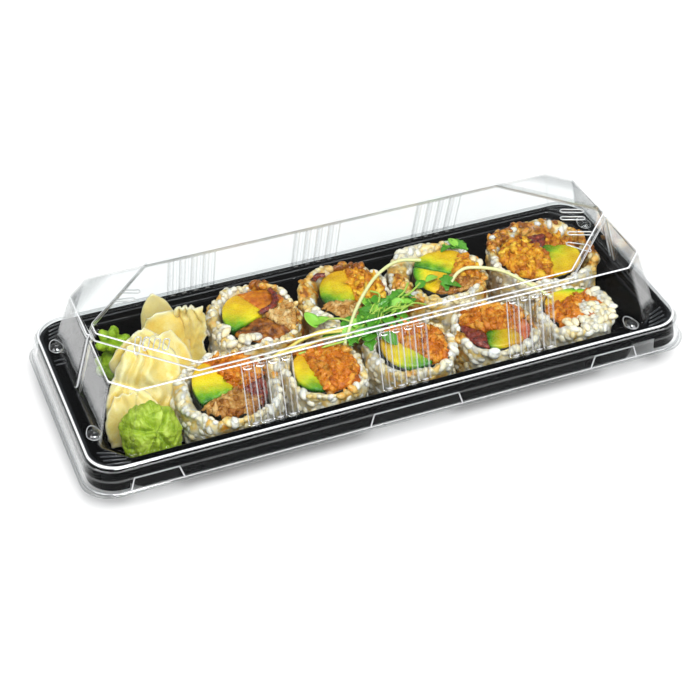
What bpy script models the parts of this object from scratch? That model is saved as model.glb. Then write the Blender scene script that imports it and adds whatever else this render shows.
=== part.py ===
"""Takeaway sushi tray: a thin black tray, its clear press-on lid, nine cut sushi rolls
standing in two rows, folded slices of pickled ginger and two lumps of wasabi.

Frame: metres, +Z up, +X along the tray's long side, +Y to its back.
The origin is on the surface that the tray stands on, at the middle of the whole.
"""

import math
from collections import namedtuple

import bmesh
import bpy
from mathutils import Vector

MM = 0.001

# Driving dimensions, in millimetres.
TRAY_DEPTH = 19.35
TRAY_SHEET = 0.7
LID_SHEET = 0.5
GAP = 0.3

FLANGE_HALF_LENGTH = 112.0
FLANGE_HALF_WIDTH = 45.0
RIM_HALF_LENGTH = 108.0
RIM_HALF_WIDTH = 42.0
RIM_CORNER = 10.0

WALL_FOOT_HALF_LENGTH = 102.9
WALL_FOOT_HALF_WIDTH = 38.2
WALL_TOP_HALF_LENGTH = 96.8
WALL_TOP_HALF_WIDTH = 32.2
WALL_CORNER_CUT = 8.2
WALL_TOP_Z = 41.8

PANEL_HALF_LENGTH = 96.0
PANEL_HALF_WIDTH = 31.2
PANEL_CUT = 27.4
PANEL_RISE = 2.8
LID_TOP_Z = 45.1

GROOVE_HALF_WIDTH = 2.15
GROOVE_DEPTH = 0.9
CORNER_STEPS = 4

SKIRT_FOOT_Z = 11.0
LATCH_HEIGHT = 4.4
LATCH_DEPTH = 5.0
LATCHES = [(-88.0, 18.0), (4.0, 34.0), (88.0, 18.0)]

BOSS_PLACES = [(-103.2, -23.8), (-103.4, 25.2), (103.2, 23.8), (89.6, -37.6)]
BOSS_RADIUS = 2.1
BOSS_HEIGHT = 1.9

FLOOR_Z = TRAY_SHEET + GAP
CUT_FACE_Z = 21.3
NORI_SHEET = 0.6
OUTLINE_STEPS = 16

WHOLE = 2 * math.pi


# ---------------------------------------------------------------- shared helpers
def clear_scene():
    """Remove the objects, so that the script can be run again in the same file."""
    for obj in list(bpy.data.objects):
        bpy.data.objects.remove(obj, do_unlink=True)


def finish(name, color, roughness, metallic=0.0, alpha=1.0):
    """One plain Principled material."""
    material = bpy.data.materials.new(name)
    material.use_nodes = True
    shader = material.node_tree.nodes["Principled BSDF"]
    shader.inputs["Base Color"].default_value = (*color, 1.0)
    shader.inputs["Roughness"].default_value = roughness
    shader.inputs["Metallic"].default_value = metallic
    shader.inputs["Alpha"].default_value = alpha
    return material


def add_object(name, form, material, smooth=True):
    """Turn a bmesh, in millimetres, into a named object in metres."""
    bmesh.ops.scale(form, vec=(MM, MM, MM), verts=form.verts)
    mesh = bpy.data.meshes.new(name)
    form.to_mesh(mesh)
    form.free()
    mesh.materials.append(material)
    if smooth:
        mesh.shade_smooth()
        mesh.set_sharp_from_angle(angle=math.radians(40))
    obj = bpy.data.objects.new(name, mesh)
    bpy.context.scene.collection.objects.link(obj)
    return obj


def hide_helper(obj):
    """A cutter or a tool shape stays out of renders."""
    obj.hide_render = True
    obj.display_type = "WIRE"


def loft(form, rings, closed=False):
    """Join rings of equally many points with strips of quads. It returns the rings' vertices."""
    rows = [[form.verts.new(point) for point in ring] for ring in rings]
    pairs = list(zip(rows, rows[1:]))
    if closed:
        pairs.append((rows[-1], rows[0]))
    for lower, upper in pairs:
        for i in range(len(lower)):
            k = (i + 1) % len(lower)
            form.faces.new((lower[i], lower[k], upper[k], upper[i]))
    return rows


# ---------------------------------------------------------------- tray and lid
Ring = namedtuple("Ring", "half_x half_y cut_x cut_y round z groove")


def ring_points(ring):
    """A rectangle with its corners cut. round is 0 for straight cuts and 1 for elliptical arcs.
    Both ends carry the four points of the upright groove at their middle."""
    corner = []
    for i in range(CORNER_STEPS + 1):
        t = i / CORNER_STEPS
        along = (1 - t) * (1 - ring.round) + math.cos(t * math.pi / 2) * ring.round
        across = t * (1 - ring.round) + math.sin(t * math.pi / 2) * ring.round
        x = ring.half_x - ring.cut_x * (1 - along)
        y = ring.half_y - ring.cut_y * (1 - across)
        corner.append((x, y))
    edge = GROOVE_HALF_WIDTH
    floor = 0.55 * GROOVE_HALF_WIDTH
    inset = ring.half_x - ring.groove
    end = [(ring.half_x, -edge), (inset, -floor), (inset, floor), (ring.half_x, edge)]
    right = [(x, -y) for x, y in reversed(corner)] + end + corner
    left = [(-x, -y) for x, y in right]
    return [(x, y, ring.z) for x, y in right + left]


def shell(name, rings, sheet, material):
    """A formed sheet: the rings' surface, closed by a flat panel in the middle, made solid."""
    form = bmesh.new()
    rows = loft(form, [ring_points(ring) for ring in rings])
    form.faces.new(rows[-1])
    bmesh.ops.recalc_face_normals(form, faces=form.faces)
    if form.faces[-1].normal.z < 0:
        bmesh.ops.reverse_faces(form, faces=form.faces)
    obj = add_object(name, form, material)
    thicken = obj.modifiers.new("sheet", "SOLIDIFY")
    thicken.thickness = sheet * MM
    thicken.offset = -1
    thicken.use_even_offset = True
    return obj


def apply_boolean(obj, name, operation, tool):
    """Add a live Boolean, and hide the shape that it uses."""
    modifier = obj.modifiers.new(name, "BOOLEAN")
    modifier.operation = operation
    modifier.object = tool
    modifier.solver = "EXACT"
    hide_helper(tool)


def domes(name, radius, height, z, material):
    """One flattened dome at each stud, as a helper for a Boolean.

    The studs sit where the tray's wall meets its ledge: two at the left end, one at the right
    end, and one in front near the right corner.
    """
    form = bmesh.new()
    for x, y in BOSS_PLACES:
        made = bmesh.ops.create_uvsphere(form, u_segments=8, v_segments=6, radius=1.0)
        bmesh.ops.scale(form, vec=(radius, radius, height), verts=made["verts"])
        bmesh.ops.translate(form, vec=(x, y, z), verts=made["verts"])
    return add_object(name, form, material)


def latch_recesses(material):
    """Blocks that notch the lower skirt where the lid's tabs press in under it."""
    form = bmesh.new()
    height = LATCH_HEIGHT + 2
    for side in (-1, 1):
        for middle, width in LATCHES:
            made = bmesh.ops.create_cube(form, size=1.0)
            bmesh.ops.scale(form, vec=(width, LATCH_DEPTH, height), verts=made["verts"])
            place = (-side * middle, side * (RIM_HALF_WIDTH + 1), SKIRT_FOOT_Z + LATCH_HEIGHT - height / 2)
            bmesh.ops.translate(form, vec=place, verts=made["verts"])
    return add_object("latch_recess_cutter", form, material, smooth=False)


def make_tray(material):
    """Floor, drafted wall, step, ledge, rolled rim and skirt, listed from the skirt's foot inwards."""
    z = TRAY_DEPTH
    x, y, r = RIM_HALF_LENGTH, RIM_HALF_WIDTH, RIM_CORNER
    foot_x, foot_y, cut = WALL_FOOT_HALF_LENGTH, WALL_FOOT_HALF_WIDTH, WALL_CORNER_CUT
    rings = [
        Ring(x + 1.3, y + 0.9, r, r, 1, SKIRT_FOOT_Z, 0),
        Ring(x + 0.5, y + 0.45, r, r, 1, SKIRT_FOOT_Z + LATCH_HEIGHT, 0),
        Ring(x, y, r, r, 1, z - 1.0, 0),
        Ring(x - 0.5, y - 0.4, r, r, 1, z - 0.25, 0),
        Ring(x - 1.4, y - 1.2, r - 0.6, r - 0.6, 1, z, 0),
        Ring(foot_x - 0.6, foot_y - 0.3, cut, cut + 0.9, 0.1, z, 0.3),
        Ring(foot_x - 1.2, foot_y - 0.8, cut, cut + 0.9, 0.1, z - 0.6, GROOVE_DEPTH),
        Ring(foot_x - 1.4, foot_y - 1.0, cut, cut + 0.9, 0.1, z - 2.4, GROOVE_DEPTH),
        Ring(foot_x - 2.4, foot_y - 1.9, cut, cut + 0.9, 0.1, z - 2.8, 0),
        Ring(foot_x - 4.8, foot_y - 3.8, cut, cut, 0.3, TRAY_SHEET + 1.4, 0),
        Ring(foot_x - 6.2, foot_y - 5.2, cut, cut, 0.3, TRAY_SHEET, 0),
    ]
    tray = shell("tray", rings, TRAY_SHEET, material)
    apply_boolean(tray, "latch_recesses", "DIFFERENCE", latch_recesses(material))
    studs = domes("tray_stud_shape", BOSS_RADIUS, BOSS_HEIGHT, z - 0.3, material)
    apply_boolean(tray, "studs", "UNION", studs)
    return tray


def make_lid(material):
    """Flange, press-on skirt, ledge, drafted walls with cut corners and the raised six-sided panel."""
    z = TRAY_DEPTH + GAP + LID_SHEET
    x, y, r = RIM_HALF_LENGTH, RIM_HALF_WIDTH, RIM_CORNER
    foot_x, foot_y, cut = WALL_FOOT_HALF_LENGTH, WALL_FOOT_HALF_WIDTH, WALL_CORNER_CUT
    top_x, top_y, top_cut = WALL_TOP_HALF_LENGTH, WALL_TOP_HALF_WIDTH, WALL_CORNER_CUT - 0.5
    panel_x, panel_y = PANEL_HALF_LENGTH, PANEL_HALF_WIDTH
    groove = GROOVE_DEPTH
    panel_foot_z = LID_TOP_Z - PANEL_RISE
    rings = [
        Ring(FLANGE_HALF_LENGTH, FLANGE_HALF_WIDTH, r + 1, r + 1, 1, SKIRT_FOOT_Z - 0.8, 0),
        Ring(x + 2.6, y + 2.0, r + 1, r + 1, 1, SKIRT_FOOT_Z - 0.4, 0),
        Ring(x + 2.3, y + 1.8, r + 1, r + 1, 1, SKIRT_FOOT_Z + LATCH_HEIGHT, 0),
        Ring(x + 1.3, y + 1.2, r + 0.5, r + 0.5, 1, z - 1.0, 0),
        Ring(x + 0.5, y + 0.4, r, r, 1, z - 0.15, 0),
        Ring(x - 0.5, y - 0.4, r, r, 1, z + 0.1, 0),
        Ring(foot_x + 1.0, foot_y + 0.8, cut + 0.4, cut + 1.3, 0.15, z + 0.1, 0),
        Ring(foot_x, foot_y, cut, cut + 0.9, 0, z + 0.6, groove),
        Ring(top_x + 0.5, top_y + 0.5, top_cut, top_cut, 0, WALL_TOP_Z - 1.0, groove),
        Ring(top_x, top_y, top_cut, top_cut, 0, WALL_TOP_Z - 0.1, groove),
        Ring(top_x - 0.7, top_y - 0.9, top_cut, top_cut, 0, WALL_TOP_Z, groove * 0.6),
        Ring(panel_x - 0.4, panel_y - 0.4, PANEL_CUT, PANEL_CUT, 0, panel_foot_z, 0),
        Ring(panel_x - 1.3, panel_y - 1.2, PANEL_CUT - 0.3, PANEL_CUT - 0.3, 0, LID_TOP_Z - 0.4, 0),
        Ring(panel_x - 1.8, panel_y - 1.7, PANEL_CUT - 0.5, PANEL_CUT - 0.5, 0, LID_TOP_Z, 0),
    ]
    lid = shell("lid", rings, LID_SHEET, material)
    dome_z = TRAY_DEPTH - 0.3
    clear = 0.4
    skin = clear + LID_SHEET
    outer = domes("lid_bump_shape", BOSS_RADIUS + skin, BOSS_HEIGHT + skin, dome_z, material)
    apply_boolean(lid, "stud_bumps", "UNION", outer)
    inner = domes("lid_bump_cutter", BOSS_RADIUS + clear, BOSS_HEIGHT + clear, dome_z, material)
    apply_boolean(lid, "stud_hollows", "DIFFERENCE", inner)
    trim_bumps(lid, material)
    return lid


def trim_bumps(lid, material):
    """The bumps' lower halves go, so that the lid's underside stays clear of the tray's ledge."""
    form = bmesh.new()
    depth = BOSS_HEIGHT + 2
    width = 2 * (BOSS_RADIUS + 2)
    top = TRAY_DEPTH + GAP - 0.02
    for x, y in BOSS_PLACES:
        made = bmesh.ops.create_cube(form, size=1.0)
        bmesh.ops.scale(form, vec=(width, width, depth), verts=made["verts"])
        bmesh.ops.translate(form, vec=(x, y, top - depth / 2), verts=made["verts"])
    cutter = add_object("lid_bump_trim", form, material, smooth=False)
    apply_boolean(lid, "bump_trim", "DIFFERENCE", cutter)


# ---------------------------------------------------------------- rolls
Filling = namedtuple("Filling", "name x y reach")
Roll = namedtuple(
    "Roll", "name x y half_x half_y loop_x loop_y loop_half_x loop_half_y square tip lean fillings"
)

# Places and half-widths, in millimetres. square is the outline's power: 2 is an ellipse.
# tip is the cut face's slope along X and Y. lean is how far the roll's bottom lies towards +Y
# of its cut face, because the tray's drafted walls press it to the middle.
# Each filling has its middle and its reach.
ROLLS = [
    Roll("back_1", -33.5, 16.0, 16.8, 18.3, -31.9, 15.4, 13.4, 15.8, 2.3, (0.02, -0.03), -1.0, [
        Filling("avocado", -37.5, 20.5, 6.8),
        Filling("carrot", -28.6, 24.0, 6.0),
        Filling("tempura", -24.8, 12.2, 4.8),
        Filling("salmon", -32.0, 8.0, 6.0),
    ]),
    Roll("back_2", 1.3, 14.5, 17.2, 18.3, 4.0, 14.6, 12.4, 15.0, 2.2, (-0.02, 0.02), -1.0, [
        Filling("avocado", -0.6, 18.4, 6.8),
        Filling("salmon", 10.3, 16.8, 7.6),
        Filling("tempura", -2.4, 6.2, 5.4),
    ]),
    Roll("back_3", 37.4, 15.6, 18.2, 18.3, 40.9, 14.4, 12.8, 13.4, 2.2, (0.02, -0.02), -1.0, [
        Filling("avocado", 40.5, 21.5, 7.0),
        Filling("avocado_end", 33.6, 14.0, 5.2),
        Filling("salmon", 50.0, 13.4, 5.6),
        Filling("tempura", 42.4, 4.4, 5.4),
    ]),
    Roll("back_4", 77.8, 11.8, 18.9, 19.2, 77.8, 10.8, 15.6, 13.6, 2.4, (-0.02, 0.03), 0.0, [
        Filling("salmon", 70.8, 11.0, 9.0),
        Filling("beet", 79.6, 21.6, 4.6),
        Filling("tempura", 88.6, 16.6, 4.4),
        Filling("avocado", 85.4, 8.2, 6.6),
    ]),
    Roll("front_1", -54.8, -18.2, 18.3, 18.5, -54.0, -17.4, 13.0, 15.4, 2.4, (0.02, 0.02), 3.4, [
        Filling("avocado", -61.0, -14.0, 7.2),
        Filling("salmon", -48.6, -10.4, 8.2),
        Filling("tempura", -56.8, -28.2, 5.6),
        Filling("beet", -43.9, -22.0, 3.2),
    ]),
    Roll("front_2", -20.8, -21.1, 14.8, 15.6, -20.7, -21.2, 11.8, 12.2, 2.3, (-0.02, 0.02), 3.4, [
        Filling("avocado", -28.4, -21.7, 5.6),
        Filling("salmon", -17.4, -20.9, 9.0),
    ]),
    Roll("front_3", 11.2, -21.6, 16.0, 15.2, 12.4, -20.9, 11.8, 12.6, 2.3, (0.02, -0.02), 3.4, [
        Filling("avocado", 6.4, -24.4, 6.4),
        Filling("salmon", 16.6, -19.6, 8.4),
    ]),
    Roll("front_4", 43.6, -21.9, 15.4, 15.0, 43.7, -21.4, 12.8, 12.5, 2.5, (-0.02, -0.02), 3.4, [
        Filling("salmon", 45.6, -16.0, 8.6),
        Filling("avocado", 43.6, -29.4, 5.6),
        Filling("beet", 33.8, -26.4, 3.6),
        Filling("carrot", 53.4, -27.4, 3.8),
    ]),
    Roll("front_5", 74.3, -22.9, 14.2, 13.4, 74.8, -21.4, 10.8, 10.4, 2.3, (0.02, 0.02), 2.4, [
        Filling("avocado", 73.7, -14.4, 5.2),
        Filling("salmon", 74.6, -22.6, 7.2),
    ]),
]


def oval(x, y, half_x, half_y, power, z):
    """Points round a superellipse, each with its own height from the function z(x, y)."""
    points = []
    for i in range(OUTLINE_STEPS):
        angle = WHOLE * (i + 0.5) / OUTLINE_STEPS
        c, s = math.cos(angle), math.sin(angle)
        px = x + half_x * math.copysign(abs(c) ** (2 / power), c)
        py = y + half_y * math.copysign(abs(s) ** (2 / power), s)
        points.append((px, py, z(px, py)))
    return points


def cut_face(roll, lift=0.0):
    """The height of a roll's cut face at any point, as a function."""
    slope_x, slope_y = roll.tip

    def height(x, y):
        return CUT_FACE_Z + lift + slope_x * (x - roll.x) + slope_y * (y - roll.y)

    return height


def flat(z):
    """A level height, in the form that oval() takes."""
    return lambda x, y: z


def lean_over(roll, form):
    """Shift a roll's lower points along Y, and leave its cut face where it is."""
    for vert in form.verts:
        vert.co.y += roll.lean * (1 - vert.co.z / CUT_FACE_Z)


def make_rice(roll, material):
    """The outer ring of rice: a squeezed barrel with soft edges and a hole for the seaweed."""
    body = (roll.x, roll.y)
    loop = (roll.loop_x, roll.loop_y, roll.loop_half_x + GAP, roll.loop_half_y + GAP)
    rings = [
        oval(*loop, roll.square, flat(FLOOR_Z)),
        oval(*body, roll.half_x - 1.1, roll.half_y - 1.1, roll.square, flat(FLOOR_Z)),
        oval(*body, roll.half_x - 0.4, roll.half_y - 0.5, roll.square, flat(FLOOR_Z + 2.0)),
        oval(*body, roll.half_x, roll.half_y, roll.square, cut_face(roll, -3.2)),
        oval(*body, roll.half_x - 0.2, roll.half_y - 0.2, roll.square, cut_face(roll, -1.1)),
        oval(*body, roll.half_x - 1.0, roll.half_y - 1.0, roll.square, cut_face(roll)),
        oval(*loop, roll.square, cut_face(roll)),
    ]
    form = bmesh.new()
    loft(form, rings, closed=True)
    lean_over(roll, form)
    bmesh.ops.recalc_face_normals(form, faces=form.faces)
    return add_object("roll_%s_rice" % roll.name, form, material)


def make_nori(roll, material):
    """The seaweed: a thin upright loop between the rice and the fillings."""
    outer = (roll.loop_x, roll.loop_y, roll.loop_half_x, roll.loop_half_y)
    inner = (roll.loop_x, roll.loop_y, roll.loop_half_x - NORI_SHEET, roll.loop_half_y - NORI_SHEET)
    rings = [
        oval(*outer, roll.square, flat(FLOOR_Z)),
        oval(*outer, roll.square, cut_face(roll, 0.1)),
        oval(*inner, roll.square, cut_face(roll, 0.1)),
        oval(*inner, roll.square, flat(FLOOR_Z)),
    ]
    form = bmesh.new()
    loft(form, rings, closed=True)
    lean_over(roll, form)
    bmesh.ops.recalc_face_normals(form, faces=form.faces)
    return add_object("roll_%s_nori" % roll.name, form, material)


def keep_cell(form, own, others):
    """Cut a flat outline back to the points that lie nearer to this filling than to the others.
    Each boundary is moved by the fillings' reaches, and leaves half a gap on this side."""
    for other in others:
        away = Vector((other.x - own.x, other.y - own.y, 0))
        apart = away.length
        reach = (apart * apart + own.reach**2 - other.reach**2) / (2 * apart)
        away.normalize()
        point = Vector((own.x, own.y, 0)) + away * (reach - GAP / 2)
        parts = form.verts[:] + form.edges[:] + form.faces[:]
        bmesh.ops.bisect_plane(form, geom=parts, plane_co=point, plane_no=away, clear_outer=True)


def make_filling(roll, own, material):
    """One filling, from the roll's bottom to its cut face, shaped by its neighbours and the seaweed."""
    inset = NORI_SHEET + GAP
    half = (roll.loop_half_x - inset, roll.loop_half_y - inset)
    form = bmesh.new()
    outline = oval(roll.loop_x, roll.loop_y, *half, roll.square, flat(0))
    form.faces.new([form.verts.new(point) for point in outline])
    keep_cell(form, own, [other for other in roll.fillings if other is not own])
    bmesh.ops.dissolve_limit(form, angle_limit=0.02, verts=form.verts, edges=form.edges)
    bmesh.ops.remove_doubles(form, verts=form.verts, dist=0.1)
    lower = form.verts[:]
    made = bmesh.ops.extrude_face_region(form, geom=form.faces[:])
    upper = [item for item in made["geom"] if isinstance(item, bmesh.types.BMVert)]
    height = cut_face(roll)
    for vert in lower:
        vert.co.z = FLOOR_Z
    for vert in upper:
        vert.co.z = height(vert.co.x, vert.co.y)
    lean_over(roll, form)
    bmesh.ops.recalc_face_normals(form, faces=form.faces)
    return add_object("roll_%s_%s" % (roll.name, own.name), form, material)


def make_roll(roll, finishes):
    """All the solids of one roll."""
    make_rice(roll, finishes["rice"])
    make_nori(roll, finishes["nori"])
    for filling in roll.fillings:
        make_filling(roll, filling, finishes[filling.name.split("_")[0]])


# ---------------------------------------------------------------- ginger and wasabi
Slice = namedtuple("Slice", "name foot heading lean width height curl ruffle waves point")

# A slice stands on its foot point and spreads square to its heading, in degrees from +X.
# lean is the slope backwards, curl bends its two sides, ruffle is its waves' height.
SLICES = [
    Slice("tall", (-65.6, 24.4), 98, 0.14, 18.0, 31.5, -1.4, 0.5, 1.5, 0.85),
    Slice("ruffled", (-56.9, 16.4), 113, 0.20, 12.4, 25.5, 1.0, 1.0, 3.0, 0.2),
    Slice("middle", (-75.4, 11.2), 99, 0.22, 22.0, 27.5, -1.6, 0.8, 2.0, 0.4),
    Slice("front", (-78.0, 1.6), 96, 0.28, 26.0, 24.5, -2.0, 0.9, 2.5, 0.3),
    Slice("low", (-84.2, -7.6), 105, 0.30, 20.0, 20.5, -1.6, 0.7, 1.5, 0.35),
]
SLICE_SHEET = 1.5
SLICE_COLUMNS = 9
SLICE_ROWS = 6


def slice_point(spec, across, up):
    """A point on a slice's middle surface. across runs from -1 to 1 and up from 0 to 1."""
    heading = math.radians(spec.heading)
    back = Vector((math.cos(heading), math.sin(heading), 0))
    side = Vector((back.y, -back.x, 0))
    narrow = 1 - spec.point * up**3
    width = 0.5 * spec.width * math.sqrt(1 - 0.75 * (2 * up - 0.9) ** 2 / 1.21) * narrow
    rise = spec.height * (up - 0.12 * across * across * up)
    bend = spec.curl * across * across * 2 + spec.lean * rise
    wave = spec.ruffle * math.sin(spec.waves * math.pi * across + 1.3 * up) * (0.3 + up)
    place = Vector((*spec.foot, FLOOR_Z + 0.4)) + side * (across * width) + back * (bend + wave)
    place.z += rise
    return place


def make_slice(spec, material):
    """A thin bent slice: its middle surface as a grid, made solid, standing on the tray's floor."""
    form = bmesh.new()
    rows = []
    for j in range(SLICE_ROWS):
        row = []
        for i in range(SLICE_COLUMNS):
            across = 2 * i / (SLICE_COLUMNS - 1) - 1
            row.append(form.verts.new(slice_point(spec, across, j / (SLICE_ROWS - 1))))
        rows.append(row)
    for lower, upper in zip(rows, rows[1:]):
        for i in range(SLICE_COLUMNS - 1):
            form.faces.new((lower[i], lower[i + 1], upper[i + 1], upper[i]))
    bmesh.ops.recalc_face_normals(form, faces=form.faces)
    obj = add_object("ginger_%s" % spec.name, form, material)
    thicken = obj.modifiers.new("slice", "SOLIDIFY")
    thicken.thickness = SLICE_SHEET * MM
    thicken.offset = 0
    return obj


Lump = namedtuple("Lump", "name place half_x half_y height lobes depth turn")
LUMPS = [
    Lump("back", (-83.9, 23.4), 7.4, 7.4, 23.0, 6, 0.11, 0.4),
    Lump("front", (-84.9, -22.6), 9.0, 8.8, 23.4, 7, 0.10, 0.9),
]
LUMP_COLUMNS = 16
LUMP_ROWS = 7


def make_lump(spec, material):
    """A lump of paste: a dome with soft lobes, flat underneath."""
    rings = []
    for j in range(LUMP_ROWS):
        t = j / LUMP_ROWS
        swell = math.cos(t * math.pi / 2) ** 0.6 * (0.86 + 0.3 * t * (1 - t) * 4)
        ring = []
        for i in range(LUMP_COLUMNS):
            angle = WHOLE * i / LUMP_COLUMNS
            lobe = 1 + spec.depth * math.sin(spec.lobes * angle / 2 + spec.turn + 2 * t) ** 2
            x = spec.place[0] + spec.half_x * swell * lobe * math.cos(angle)
            y = spec.place[1] + spec.half_y * swell * lobe * math.sin(angle)
            ring.append((x, y, FLOOR_Z + spec.height * math.sin(t * math.pi / 2) ** 1.1))
        rings.append(ring)
    form = bmesh.new()
    rows = loft(form, rings)
    form.faces.new(rows[0])
    top = form.verts.new((*spec.place, FLOOR_Z + spec.height))
    last = rows[-1]
    for i in range(LUMP_COLUMNS):
        form.faces.new((last[i], last[(i + 1) % LUMP_COLUMNS], top))
    bmesh.ops.recalc_face_normals(form, faces=form.faces)
    return add_object("wasabi_%s" % spec.name, form, material)


def main():
    clear_scene()
    black = finish("black_tray", (0.012, 0.013, 0.014), 0.18)
    clear = finish("clear_lid", (0.92, 0.94, 0.95), 0.05, alpha=0.25)
    food = {
        "rice": finish("rice", (0.84, 0.79, 0.66), 0.5),
        "nori": finish("nori", (0.012, 0.018, 0.012), 0.45),
        "avocado": finish("avocado", (0.62, 0.62, 0.06), 0.4),
        "salmon": finish("salmon", (0.74, 0.21, 0.03), 0.45),
        "carrot": finish("carrot", (0.80, 0.25, 0.02), 0.3),
        "tempura": finish("tempura", (0.50, 0.22, 0.06), 0.6),
        "beet": finish("beet", (0.16, 0.03, 0.03), 0.4),
        "ginger": finish("ginger", (0.87, 0.68, 0.28), 0.35),
        "wasabi": finish("wasabi", (0.28, 0.50, 0.05), 0.6),
    }
    make_tray(black)
    make_lid(clear)
    for roll in ROLLS:
        make_roll(roll, food)
    for spec in SLICES:
        make_slice(spec, food["ginger"])
    for spec in LUMPS:
        make_lump(spec, food["wasabi"])


main()
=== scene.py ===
# %% [markdown]
# # A takeaway sushi tray
# A thin black tray holds nine cut rolls in two rows, a heap of pickled ginger and two lumps of
# wasabi. A clear pressed lid closes it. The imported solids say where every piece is. This lesson
# gives each one its real surface: sheets with rounded folds, rice built from grains, and fillings
# that are smooth, crumbly or wet.
#
# All sizes below are in millimetres. A piece is scaled to metres when it becomes an object.

# %% Load the solids
import math
from collections import namedtuple
from itertools import product
from random import Random

import bmesh
import bpy
from mathutils import Matrix, Vector, noise


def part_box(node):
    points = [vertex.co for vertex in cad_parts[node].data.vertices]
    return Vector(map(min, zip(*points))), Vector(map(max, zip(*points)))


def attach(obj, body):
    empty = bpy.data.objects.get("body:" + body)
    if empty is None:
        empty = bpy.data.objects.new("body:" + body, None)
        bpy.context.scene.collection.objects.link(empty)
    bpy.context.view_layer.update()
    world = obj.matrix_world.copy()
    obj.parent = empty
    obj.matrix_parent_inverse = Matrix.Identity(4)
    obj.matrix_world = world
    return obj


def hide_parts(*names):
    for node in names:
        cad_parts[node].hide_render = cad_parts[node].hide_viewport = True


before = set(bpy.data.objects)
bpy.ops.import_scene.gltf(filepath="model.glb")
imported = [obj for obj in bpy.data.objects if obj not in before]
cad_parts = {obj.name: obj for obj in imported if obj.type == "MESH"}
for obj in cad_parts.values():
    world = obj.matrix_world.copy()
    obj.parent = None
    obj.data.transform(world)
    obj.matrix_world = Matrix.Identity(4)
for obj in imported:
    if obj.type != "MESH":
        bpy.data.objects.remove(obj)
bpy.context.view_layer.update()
MM = 0.001
noise.seed_set(5)  # without a seed, vector noise follows the clock and changes with every run

# %% [markdown]
# ## From a bmesh to a piece
# Every piece is shaped as a bmesh in millimetres. One helper turns it into an object at the
# origin, with its place in its mesh, and ties it to the pack's single body. Another reads the
# solid that a piece stands for, as a merged copy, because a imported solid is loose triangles. A
# third sends a shape through one modifier and takes it back, for what bmesh has no operator for.

# %% Pieces and solids
def mesh_from(form, name):
    """Write a bmesh into a new mesh, and let the bmesh go."""
    mesh = bpy.data.meshes.new(name)
    form.to_mesh(mesh)
    form.free()
    return mesh


def add_piece(name, form, finish, stands_for=()):
    """Make a bmesh in millimetres a smooth piece in metres that rides on the pack."""
    bmesh.ops.scale(form, vec=(MM, MM, MM), verts=form.verts)
    mesh = mesh_from(form, name)
    mesh.materials.append(finish)
    mesh.shade_smooth()
    piece = bpy.data.objects.new(name, mesh)
    bpy.context.scene.collection.objects.link(piece)
    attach(piece, "root")
    if stands_for:
        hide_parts(*stands_for)
    return piece


def solid_copy(node):
    """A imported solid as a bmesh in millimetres, with its loose triangles joined."""
    form = bmesh.new()
    form.from_mesh(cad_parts[node].data)
    bmesh.ops.scale(form, vec=(1 / MM, 1 / MM, 1 / MM), verts=form.verts)
    bmesh.ops.remove_doubles(form, verts=form.verts, dist=0.01)
    return form


def box_mm(node):
    """The lowest and highest corners of a solid, in millimetres."""
    low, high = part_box(node)
    return low / MM, high / MM


def keep_values(piece, name, values):
    """Store one number for each vertex, for the material to read."""
    layer = piece.data.attributes.new(name, "FLOAT", "POINT")
    layer.data.foreach_set("value", values)


def reshaped(form, kind, **settings):
    """A bmesh as one modifier leaves it."""
    holder = bpy.data.objects.new("holder", mesh_from(form, "holder"))
    bpy.context.scene.collection.objects.link(holder)
    modifier = holder.modifiers.new("reshape", kind)
    for key, value in settings.items():
        setattr(modifier, key, value)
    graph = bpy.context.evaluated_depsgraph_get()
    result = bpy.data.meshes.new_from_object(holder.evaluated_get(graph))
    bpy.data.objects.remove(holder)
    form = bmesh.new()
    form.from_mesh(result)
    bpy.data.meshes.remove(result)
    return form


print("solids to clothe:", len(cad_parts))

# %% [markdown]
# ## Shader maths as plain expressions
# A material is a graph of nodes, and joining them by hand hides what they work out. One small class
# wraps a socket, so that `1 - mask * 0.5` adds its own Math nodes. Colours are written as they look
# on a screen, and turned into the linear values that a shader works with.

# %% Colours and wires
def paint(code):
    """A colour such as "E8D020", from screen values to the linear ones that shaders use."""
    parts = [int(code[i:i + 2], 16) / 255 for i in (0, 2, 4)]
    return (*[c / 12.92 if c < 0.04 else ((c + 0.055) / 1.055) ** 2.4 for c in parts], 1.0)


class Wire:
    """An output socket that takes part in sums."""

    def __init__(self, finish, socket):
        self.finish = finish
        self.socket = socket

    def maths(self, operation, first, second):
        return self.finish.node("Math", {"operation": operation}, {0: first, 1: second})

    def __add__(self, other):
        return self.maths("ADD", self, other)

    def __sub__(self, other):
        return self.maths("SUBTRACT", self, other)

    def __rsub__(self, other):
        return self.maths("SUBTRACT", other, self)

    def __mul__(self, other):
        return self.maths("MULTIPLY", self, other)

    def __pow__(self, other):
        return self.maths("POWER", self, other)

    __radd__ = __add__
    __rmul__ = __mul__

    def limit(self):
        """The same number, held between 0 and 1."""
        return self.finish.node("Clamp", {}, {"Value": self})

    def step(self, low, high):
        """0 below low, 1 above high, and smooth between them."""
        settings = {"interpolation_type": "SMOOTHSTEP"}
        return self.finish.node("MapRange", settings, {"Value": self, 1: low, 2: high})


print("a middle grey on screen, as shaders see it:", round(paint("808080")[0], 3))

# %% [markdown]
# ## A finish
# A finish holds one material. One method makes any node from its type, its settings and its inputs,
# and the others are short names for the nodes that come back often. Patterns are laid on Object
# coordinates in millimetres, so they stay where they are on a piece.

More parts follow.
